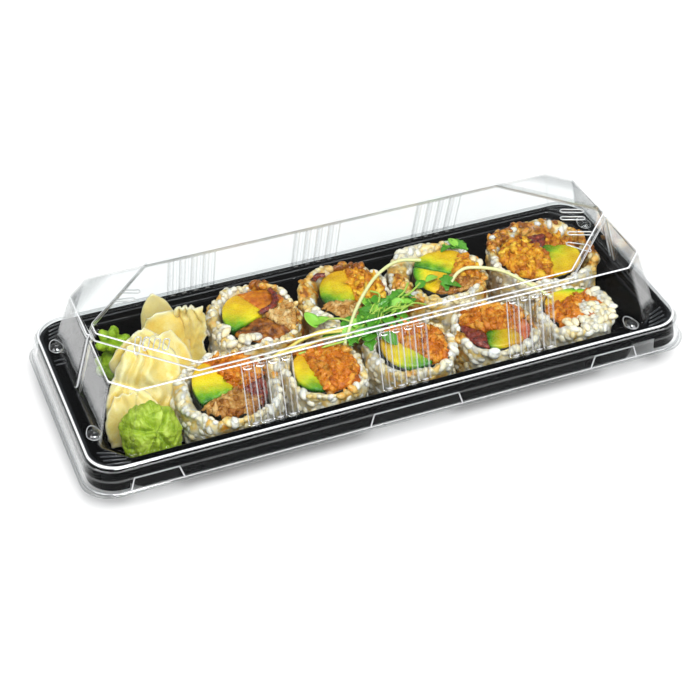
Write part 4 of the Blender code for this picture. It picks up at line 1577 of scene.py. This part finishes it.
# pale sets how much a slice is painted paler towards its top: painted light.
Drape = namedtuple("Drape", "left right bulge crown pleats depth frill pale")
GINGER = {
    "tall": [
        Drape([(-71, 27, 3), (-72.2, 26.5, 14), (-72.2, 26.5, 21), (-71.2, 26, 28), (-69.4, 26, 31.5)],
              [(-58, 25, 3), (-58.6, 25, 12), (-60.0, 25.5, 20), (-61.6, 26, 26.5), (-65.0, 26, 31.2)],
              1.6, 2.4, 1.1, 0.3, 0.12, 0.6),
    ],
    "ruffled": [
        Drape([(-64, 17, 3), (-63.5, 17.5, 11), (-62.6, 18, 20), (-62.2, 18, 26), (-61.8, 17.5, 30.6)],
              [(-53.5, 13.5, 3), (-53.3, 14.5, 10), (-52.6, 15.5, 18), (-51.6, 16, 24),
               (-53.2, 16.5, 29.4)],
              1.2, 1.4, 3.4, 0.8, 0.6, 0.35),
    ],
    "middle": [
        Drape([(-77, 14, 2), (-76.5, 15.5, 9), (-75.2, 17, 17), (-73.8, 18.5, 24), (-71.5, 19.2, 28.6)],
              [(-57, 13, 2), (-57.4, 14.5, 9), (-58.0, 16.5, 18), (-58.6, 18, 25), (-62.5, 19.4, 29.4)],
              3.8, 2.2, 1.3, 0.4, 0.15, 0.1),
        Drape([(-86, 7, 4), (-86.2, 8, 10), (-87.2, 9.5, 15), (-88.2, 10.5, 20.5), (-82.6, 11, 27.0)],
              [(-66, 7, 3), (-65.6, 8, 10), (-65.6, 9.5, 17), (-67.0, 11, 23.5), (-75.0, 12.0, 30.6)],
              2.2, 0.8, 2.1, 0.5, 0.2, 0.1),
    ],
    "front": [
        Drape([(-79, 3, 3), (-79.5, 4, 9), (-79.0, 5.5, 15), (-77.5, 7.5, 20), (-74.5, 10.0, 26)],
              [(-60.4, 1.5, 3), (-60.0, 3, 9), (-60.4, 5, 15), (-61.4, 8, 20.5), (-66, 12, 27.0)],
              2.4, 1.0, 1.6, 0.7, 0.2, 0.1),
        Drape([(-93.5, -7, 2), (-94.2, -5.5, 8), (-94.0, -3.5, 13.5), (-91.0, -0.5, 19),
               (-87.4, 3.5, 23), (-82, 8.5, 27.4)],
              [(-69.5, -8, 2), (-68.8, -6, 8), (-68.0, -3, 13.5), (-66.0, 1.0, 18.5),
               (-66.5, 6, 22.5), (-71.5, 10.5, 27.6)],
              2.8, 0.4, 3.3, 1.25, 0.3, 0.15),
    ],
    "low": [
        Drape([(-95.6, -12, 2), (-96.2, -11, 6), (-96.0, -9.5, 10), (-94.4, -7.5, 14), (-91, -5.0, 18)],
              [(-78, -14, 2), (-77.4, -12.5, 6), (-77.0, -10.5, 10), (-77.6, -8, 14), (-81, -5, 18)],
              1.4, 0.4, 2.4, 0.8, 0.3, 0.3),
    ],
}
print("ginger slices:", sum(len(slices) for slices in GINGER.values()))

# %% [markdown]
# ## Hanging the slices
# A slice is a sheet hung between its two edges, as a cloth hangs between two hands. It starts as a
# flat grid. Every vertex goes to its place between the edges, and an arch, pleats and noise push it
# outwards from there.

# %% Ginger slices
DRAPE_OUT = Vector((-0.36, -0.88, 0.30))
ACROSS_STEPS = 40
UP_STEPS = 9
SLICE_SHEET = 0.7
FRILL_SHIFT = Vector((9, 0, 0))


def add_slice(form, spec):
    """A sheet hung between two edges, with soft pleats. Returns each vertex's paleness: its nearness to its
    rim, or its painted light towards the top.
    """
    left, right = through(spec.left, UP_STEPS), through(spec.right, UP_STEPS)
    last = len(left) - 1
    made = bmesh.ops.create_grid(form, x_segments=ACROSS_STEPS, y_segments=last, size=1.0)
    edges = []
    for vert in made["verts"]:
        across, row = (vert.co.x + 1) / 2, round((vert.co.y + 1) / 2 * last)
        up = row / last
        place = left[row].lerp(right[row], across)
        arch = math.sin(across * math.pi)
        wobble = 0.25 * noise.noise(place * 0.12)
        pleat = math.sin(2 * math.pi * (spec.pleats * (across + wobble) + 0.15 * up))
        place += DRAPE_OUT * (spec.bulge * arch ** 0.8 + spec.depth * pleat * (0.5 + 0.5 * up))
        place.z += spec.crown * arch * up ** 6
        rim = max(abs(2 * across - 1) ** 12, up ** 20)
        frill = noise.noise_vector(place * 0.42 + FRILL_SHIFT)
        place += spec.frill * (noise.noise_vector(place * 0.2) * 1.2 + frill * (0.5 + 1.6 * rim))
        place.z = max(FLOOR_Z + 0.5, place.z)
        # The rim is paler and see-through as the slice's own; the paleness towards the top is painted
        # light.
        edges.append(max(rim, spec.pale * up))
        vert.co = place
    return edges


ginger_finish = make_ginger()
for name, slices in GINGER.items():
    form = bmesh.new()
    edges = []
    for spec in slices:
        edges += add_slice(form, spec)
    bmesh.ops.recalc_face_normals(form, faces=form.faces)
    piece = add_piece("ginger_%s_slices" % name, form, ginger_finish, ["ginger_%s" % name])
    keep_values(piece, "edge", edges)
    thicken(piece, SLICE_SHEET)
    piece.modifiers["sheet"].offset = 0
    settle(piece)
    piece.data.shade_smooth()
    print(piece.name, len(piece.data.polygons), "faces")

# %% [markdown]
# ## Wasabi
# A dry, matt paste with a grainy surface. The rear lump is piped: its lobes overlap, and a voxel
# remesh joins them into one closed skin, which is then smoothed.

# %% Wasabi's finish and the piped lump
def make_wasabi():
    """Matt green paste with grit, lighter with the value tone."""
    finish = Finish("wasabi")
    cloud = finish.noise(4.0, detail=4, roughness=0.6)
    grit = finish.noise(0.5, detail=3, roughness=0.7)
    light = finish.value("tone")
    mix = cloud * 0.8 + grit * 0.2
    places = (0.35, 0.5, 0.65)
    deep = finish.ramp(mix, even_ramp(places, ("5C8404", "86AC0A", "A4C432")))
    pale = finish.ramp(mix, even_ramp(places, ("7E9E1C", "A0B82E", "BCCE58")))
    color = finish.blend(light, deep, pale)
    return finish.surface(
        Base_Color=color,
        Roughness=0.4 + grit * 0.25,
        Subsurface_Weight=0.15,
        Subsurface_Radius=(0.8, 1.0, 0.2),
        Subsurface_Scale=0.001,
        Coat_Weight=0.12,
        Normal=finish.bump(grit * 0.4 + cloud, 0.4),
    )


def melt(balls, voxel, rounds):
    """Join overlapping ellipsoids into one closed surface. A ball is a matrix from the unit ball."""
    form = bmesh.new()
    for matrix in balls:
        bmesh.ops.create_icosphere(form, subdivisions=3, radius=1.0, matrix=matrix)
    form = reshaped(form, "REMESH", mode="VOXEL", voxel_size=voxel)
    axes = {"use_axis_x": True, "use_axis_y": True, "use_axis_z": True}
    for _ in range(rounds):
        bmesh.ops.smooth_vert(form, verts=form.verts, factor=0.5, **axes)
    form.normal_update()
    return form


def petal(centre, turn, rise, out, length, width):
    """A pointed lobe that leaves the centre in a direction: a long ellipsoid."""
    aim = Matrix.Rotation(math.radians(turn), 4, "Z") @ Matrix.Rotation(-math.radians(rise), 4, "Y")
    tip = Matrix.Translation(centre) @ aim @ Matrix.Translation((out, 0, 0))
    return tip @ Matrix.Diagonal((length, width, width, 1))


def back_lump(low, high):
    """Piped paste: a core, with two tiers of separate lobes round it."""
    rng = Random(7)
    centre = Vector(((low.x + high.x) / 2, (low.y + high.y) / 2, low.z + 6))
    balls = [Matrix.Translation(centre) @ Matrix.Diagonal((5.0, 5.0, 8.0, 1))]
    for i in range(7):
        balls.append(petal(centre, 360 * i / 7 + rng.uniform(-12, 12), rng.uniform(5, 20), 4.2, 3.6, 2.4))
    for i in range(6):
        middle = centre + Vector((0, 0, 9.5))
        balls.append(petal(middle, 360 * i / 6 + rng.uniform(-15, 15), rng.uniform(25, 55), 3.9, 3.6, 2.0))
    balls.append(petal(centre + Vector((0, 0, 12)), 0, 85, 2.0, 3.4, 1.8))
    return melt(balls, 0.35, 2)


wasabi_finish = make_wasabi()
print("finish:", wasabi_finish.name)

# %% [markdown]
# ## The pressed lump
# The front lump is a dome with creases that run to a pinch. A crease lies wherever smooth noise
# crosses zero, so the creases branch as cracks do. Finer noise then roughens both lumps.

# %% Wasabi lumps
FRONT_GROWTH = Vector((0.8, 0, 0.4))


def front_lump(low, high):
    """A pressed dome, pinched towards the front, with creases that run to the pinch."""
    high = high + FRONT_GROWTH
    centre, half = (low + high) / 2, (high - low) / 2
    axis = Vector((0.12, -0.70, 0.62)).normalized()
    across = axis.cross(Vector((0, 0, 1))).normalized()
    upward = across.cross(axis)
    form = bmesh.new()
    bmesh.ops.create_icosphere(form, subdivisions=6, radius=1.0)
    for vert in form.verts:
        d = vert.co.normalized()
        away = math.acos(max(-1.0, min(1.0, d.dot(axis))))
        around = math.atan2(d.dot(upward), d.dot(across))
        ray = Vector((math.cos(around), math.sin(around), 0)) * 1.15 + Vector((0, 0, away * 0.7))
        crease = max(0.0, 1 - 3.2 * abs(noise.noise(ray + Vector((3, 1, 0))))) ** 1.6
        lobe = max(0.0, 1 - 4.0 * abs(noise.noise(d * 2.3 + Vector((0, 5, 0))))) ** 2
        depth = 0.27 * math.exp(-((away - 0.45) / 0.7) ** 2)
        dip = 0.16 * math.exp(-(away / 0.28) ** 2)
        swell = 1 + 0.12 * noise.noise(d * 2.6 + Vector((4, 0, 0)))
        swell += 0.05 * noise.turbulence(d * 7.0, 3, True)
        size = swell - depth * crease - 0.045 * lobe - dip
        vert.co = centre + Vector((d.x * half.x, d.y * half.y, d.z * half.z)) * size
        vert.co.z = max(low.z, vert.co.z)
    form.normal_update()
    return form


WASABI = [("back", back_lump, 0.0), ("front", front_lump, 0.75)]
for name, shape, light in WASABI:
    node = "wasabi_%s" % name
    form = shape(*box_mm(node))
    for vert in form.verts:
        vert.co += vert.normal * (0.5 * noise.turbulence(vert.co * 0.7, 4, True) - 0.2)
        vert.co.z = max(FLOOR_Z, vert.co.z)
    piece = add_piece(node + "_lump", form, wasabi_finish, [node])
    keep_values(piece, "tone", [light] * len(piece.data.vertices))
print("wasabi lumps:", len(WASABI))

# %% [markdown]
# ## Sprouts
# Pale stems arch over the rolls, and small leaves lie in the valley between the rows. Fresh leaves
# are thin, so a little light passes through, and their veins wrinkle the surface.

# %% Stem and leaf finishes
def make_leaf_finish(name, dark, light):
    """Two greens in soft patches, with fine wrinkled veins."""
    finish = Finish(name)
    cloud = finish.noise(2.5, detail=3)
    veins = finish.noise(0.5, detail=2, distortion=1.0)
    color = finish.blend(cloud * 0.7 + veins * 0.3, dark, light)
    return finish.surface(
        Base_Color=color,
        Roughness=0.3 + veins * 0.2,
        Subsurface_Weight=0.2,
        Subsurface_Radius=(0.5, 1.0, 0.2),
        Subsurface_Scale=0.001,
        Coat_Weight=0.2,
        Normal=finish.bump(veins, 0.1),
    )


leaf_finish = make_leaf_finish("sprout_leaf", paint("1E6A08"), paint("62AE26"))
light_leaf_finish = make_leaf_finish("young_leaf", paint("6FBF2E"), paint("A6DC55"))
stem_finish = make_leaf_finish("sprout_stem", paint("D3DC8A"), paint("F1F0C4"))
green_stem_finish = make_leaf_finish("green_stem", paint("7FB23A"), paint("C3D860"))
yellow_stem_finish = make_leaf_finish("yellow_stem", paint("CDB83E"), paint("EFE28C"))
print("finishes of stems:", stem_finish.name, green_stem_finish.name, yellow_stem_finish.name)

# %% [markdown]
# ## Stems
# A stem is a round bead along a smooth path through a few points. Two long pale ones arch over the
# rolls, and shorter green and yellow ones cross each other in the valley between the rows.

# %% Stems
LONG_STEMS = [
    [(33.3, 21.1, 24.0), (25.5, 21.6, 25.5), (18.2, 18.6, 26.2), (9.7, 12.2, 26.0),
     (-0.9, 0.6, 24.6), (-10.5, -13.8, 23.2)],
    [(38.2, 5.1, 23.0), (42.6, 8.2, 24.5), (47.8, 8.5, 25.2), (57.2, 2.7, 25.2),
     (64.1, -8.0, 24.2), (68.7, -16.3, 23.0)],
]
GREEN_STEMS = [
    [(16.0, 3.2, 23.4), (20.0, 5.4, 24.2), (23.0, 9.0, 24.6)],
    [(18.0, 3.0, 23.6), (22.5, 4.0, 24.6), (27.0, 7.2, 24.8)],
    [(12.0, -3.0, 23.0), (17.0, 1.6, 24.2), (22.0, 3.8, 24.2)],
    [(9.0, -5.0, 22.8), (14.0, -2.6, 24.0), (18.4, 2.4, 24.4)],
    [(4.0, -3.0, 22.8), (8.0, 1.4, 24.2), (10.8, 6.6, 24.6), (8.6, 9.4, 24.8)],
    [(-27.0, -12.0, 22.6), (-17.0, -12.6, 23.4), (-6.0, -12.0, 23.2)],
    [(-12.0, 2.2, 23.0), (-7.0, -0.4, 23.8), (-3.0, -4.4, 23.6)],
]
YELLOW_STEMS = [
    [(-37.0, -11.0, 23.0), (-29.5, -9.2, 24.0), (-24.0, -7.4, 24.6), (-17.0, -6.4, 24.4),
     (-9.0, -7.0, 23.6)],
    [(-33.0, -10.4, 22.8), (-24.0, -10.2, 23.8), (-16.0, -9.0, 23.8), (-6.0, -9.4, 23.2)],
    [(-22.0, -5.0, 22.8), (-16.0, -4.6, 23.8), (-8.0, -6.0, 23.6)],
]


def valley_stems(count, seed):
    """Short thin stems that cross each other in the valley."""
    rng = Random(seed)
    lines = []
    for _ in range(count):
        along = rng.random()
        foot = Vector((-12 + 30 * along, -12 + 13 * along + rng.uniform(-4, 4), rng.uniform(22.4, 24.0)))
        turn = math.radians(rng.uniform(-10, 60))
        reach = Vector((math.cos(turn), math.sin(turn), 0)) * rng.uniform(6, 12)
        lines.append([foot, foot + reach * 0.5 + Vector((0, 0, rng.uniform(0.8, 2.0))), foot + reach])
    return lines


def add_stems(name, lines, thickness, finish):
    """All stems of one kind as one piece."""
    form = beads([through(line, PATH_STEPS) for line in lines], thickness, closed=False)
    add_piece(name, form, finish)
    print(name, len(lines))


add_stems("sprout_stems", LONG_STEMS, 1.35, stem_finish)
add_stems("green_stems", GREEN_STEMS, 0.8, green_stem_finish)
add_stems("yellow_stems", YELLOW_STEMS, 1.2, yellow_stem_finish)
add_stems("thin_stems", valley_stems(16, 9), 0.6, green_stem_finish)

# %% [markdown]
# ## Leaves
# A leaf is a small grid drawn to a leaf's outline, folded along its middle and bent. Half of the
# dark ones have a lobed edge. Some are listed one by one, and the rest are heaped along the valley.

# %% Leaves
def leaf_mesh(lobed):
    """A leaf one millimetre long along X, folded and bent, with or without lobes."""
    form = bmesh.new()
    bmesh.ops.create_grid(form, x_segments=12, y_segments=6, size=0.5)
    for vert in form.verts:
        t = vert.co.x + 0.5
        width = math.sin(math.pi * min(0.97, max(0.03, t ** 0.8))) ** 0.65
        if lobed:
            width *= 0.78 + 0.22 * math.cos(t * 6 * math.pi)
        across = vert.co.y * 2
        vert.co.y = across * 0.36 * width
        vert.co.z = 0.10 * across * across * width - 0.22 * (t - 0.4) ** 2
    bmesh.ops.solidify(form, geom=form.faces[:], thickness=0.03)
    bmesh.ops.recalc_face_normals(form, faces=form.faces)
    return mesh_from(form, "leaf")


Leaf = namedtuple("Leaf", "x y z heading length tilt roll")
DARK_LEAVES = [
    Leaf(36.9, 5.8, 23.6, 250, 7.5, -0.2, 0.1), Leaf(38.6, 4.0, 23.2, 320, 6.5, 0.1, -0.3),
    Leaf(51.1, 27.0, 22.6, 20, 7.0, 0.0, 0.3), Leaf(48.6, 27.4, 22.8, 160, 6.5, 0.1, -0.2),
    Leaf(51.8, 25.2, 23.0, 300, 6.0, -0.1, 0.2), Leaf(46.0, 26.0, 22.8, 200, 5.5, 0.0, 0.4),
    Leaf(7.0, 4.2, 23.2, 70, 8.0, 0.1, 0.2), Leaf(10.4, 3.2, 23.6, 20, 7.5, 0.1, -0.3),
    Leaf(13.9, 0.9, 23.4, 340, 7.0, 0.1, 0.2), Leaf(4.0, 0.8, 23.0, 140, 7.0, 0.1, -0.2),
    Leaf(16.5, 4.6, 23.4, 50, 6.0, 0.2, 0.2), Leaf(8.2, -1.4, 22.8, 200, 7.5, 0.0, 0.1),
    Leaf(1.0, -3.2, 22.6, 230, 7.5, -0.1, 0.2), Leaf(-4.0, -2.2, 22.6, 180, 7.0, 0.1, -0.1),
    Leaf(3.0, -7.8, 22.6, 260, 8.0, -0.1, 0.3), Leaf(8.8, -7.0, 23.0, 280, 7.0, -0.1, -0.2),
    Leaf(-1.3, -14.4, 22.4, 255, 8.0, -0.1, 0.2), Leaf(5.6, -16.0, 22.8, 290, 7.0, -0.1, 0.1),
    Leaf(13.6, -9.0, 23.2, 330, 6.0, 0.0, 0.3), Leaf(-12.0, -5.6, 22.6, 185, 7.5, 0.0, 0.2),
    Leaf(20.0, 1.0, 22.8, 10, 6.5, 0.1, 0.1), Leaf(28.0, 8.6, 23.2, 30, 5.0, 0.1, 0.2),
]
LIGHT_LEAVES = [
    Leaf(-16.4, 3.9, 23.2, 100, 7.5, 0.3, 0.2), Leaf(-13.0, 2.4, 22.8, 20, 7.0, 0.0, -0.2),
    Leaf(32.9, 10.1, 23.4, 200, 5.5, 0.1, 0.2), Leaf(49.4, 27.6, 23.6, 100, 5.0, 0.2, 0.1),
    Leaf(5.0, 5.6, 23.8, 100, 6.0, 0.2, 0.3), Leaf(1.0, -5.6, 23.4, 210, 6.0, 0.0, -0.2),
]


def valley_leaves(count, seed):
    """Small leaves heaped along the valley between the two rows of rolls."""
    rng = Random(seed)
    leaves = []
    for _ in range(count):
        along = rng.random()
        x, y = -8 + 27 * along + rng.uniform(-2, 2), -11 + 14 * along + rng.uniform(-5, 5)
        tilt, roll = rng.uniform(-0.5, 0.5), rng.uniform(-0.6, 0.6)
        z, heading, length = rng.uniform(21.8, 24.6), rng.uniform(0, 360), rng.uniform(4, 7)
        leaves.append(Leaf(x, y, z, heading, length, tilt, roll))
    return leaves


def add_leaves(name, leaves, shapes, finish):
    """All leaves of one kind as one piece. The shapes take turns."""
    form = bmesh.new()
    for i, leaf in enumerate(leaves):
        turn = Matrix.Rotation(math.radians(leaf.heading), 4, "Z")
        turn = turn @ Matrix.Rotation(-leaf.tilt, 4, "Y") @ Matrix.Rotation(leaf.roll, 4, "X")
        size = Matrix.Diagonal((leaf.length, leaf.length, leaf.length, 1))
        join(form, shapes[i % len(shapes)], Matrix.Translation((leaf.x, leaf.y, leaf.z)) @ turn @ size)
    add_piece(name, form, finish)
    print(name, len(leaves))


plain_leaf, lobed_leaf = leaf_mesh(False), leaf_mesh(True)
add_leaves("sprout_leaves", DARK_LEAVES + valley_leaves(34, 5), [lobed_leaf, plain_leaf], leaf_finish)
add_leaves("young_leaves", LIGHT_LEAVES + valley_leaves(14, 6), [plain_leaf], light_leaf_finish)

# %% [markdown]
# ## Stage and light
# A plain pale floor, lit so brightly that only the pack's own shadow shows on it. The key lamp
# stands high in front. Two large soft boxes, in front and at the left, are mirrored in the lid's
# folds and the tray's rim, and a lamp behind lights the far side. The room is dim, which keeps the
# lid's top clear.

# %% Floor and lights
def make_floor_paper():
    """Plain matt paper."""
    finish = Finish("floor_paper")
    tint = finish.blend(finish.noise(400, detail=1), paint("F2F2F2"), paint("F5F5F5"))
    return finish.surface(Base_Color=tint, Roughness=0.9, Specular_IOR_Level=0.1)


floor_form = bmesh.new()
bmesh.ops.create_grid(floor_form, x_segments=1, y_segments=1, size=4.0)
floor_mesh = mesh_from(floor_form, "floor")
floor_mesh.materials.append(make_floor_paper())
floor = bpy.data.objects.new("floor", floor_mesh)
floor.location.z = -0.0006  # just below the tray's foot
bpy.context.scene.collection.objects.link(floor)

world = bpy.data.worlds.new("room")
world.use_nodes = True
room_light = world.node_tree.nodes["Background"].inputs
room_light["Color"].default_value = (1.0, 1.0, 1.0, 1.0)
room_light["Strength"].default_value = 0.25
bpy.context.scene.world = world


def add_lamp(name, azimuth, height, distance, size_x, size_y, radiance):
    """A rectangular lamp that faces the pack, from a plan angle and an angle above the floor.

    Its power follows from how bright its face is to look.
    """
    data = bpy.data.lights.new(name, "AREA")
    data.shape = "RECTANGLE"
    data.size, data.size_y = size_x, size_y
    data.energy = radiance * math.pi * size_x * size_y
    lamp = bpy.data.objects.new(name, data)
    plan, rise = math.radians(azimuth), math.radians(height)
    toward = Vector((math.cos(plan) * math.cos(rise), math.sin(plan) * math.cos(rise), math.sin(rise)))
    lamp.location = toward * distance
    lamp.rotation_euler = (-toward).to_track_quat("-Z", "Y").to_euler()
    bpy.context.scene.collection.objects.link(lamp)


LAMPS = [
    ("key_lamp", -100, 60, 1.9, 0.7, 0.6, 21.0),
    ("front_box", -66, 40, 1.5, 1.0, 1.1, 3.2),
    ("left_box", -160, 42, 1.5, 0.9, 0.8, 3.2),
    ("back_lamp", 75, 66, 1.9, 1.2, 0.5, 3.0),
]
for lamp in LAMPS:
    add_lamp(*lamp)
print("lamps:", len(LAMPS))

# %% [markdown]
# ## Camera
# A long lens looks down at the pack from the front left, so its long side runs across the picture
# and rises to the right.

# %% Camera
camera_data = bpy.data.cameras.new("camera")
camera_data.sensor_width = 36.0
camera_data.lens = 88.3
camera_data.clip_start = 0.01
camera = bpy.data.objects.new("camera", camera_data)
camera.location = (-0.1813, -0.4458, 0.3974)
aim = Vector((-0.0135, -0.026, 0.0308)) - camera.location
camera.rotation_euler = aim.to_track_quat("-Z", "Y").to_euler()
bpy.context.scene.collection.objects.link(camera)
bpy.context.scene.camera = camera
bpy.context.scene.view_settings.view_transform = "Standard"
print("the camera's lens, in mm:", round(camera_data.lens, 1))
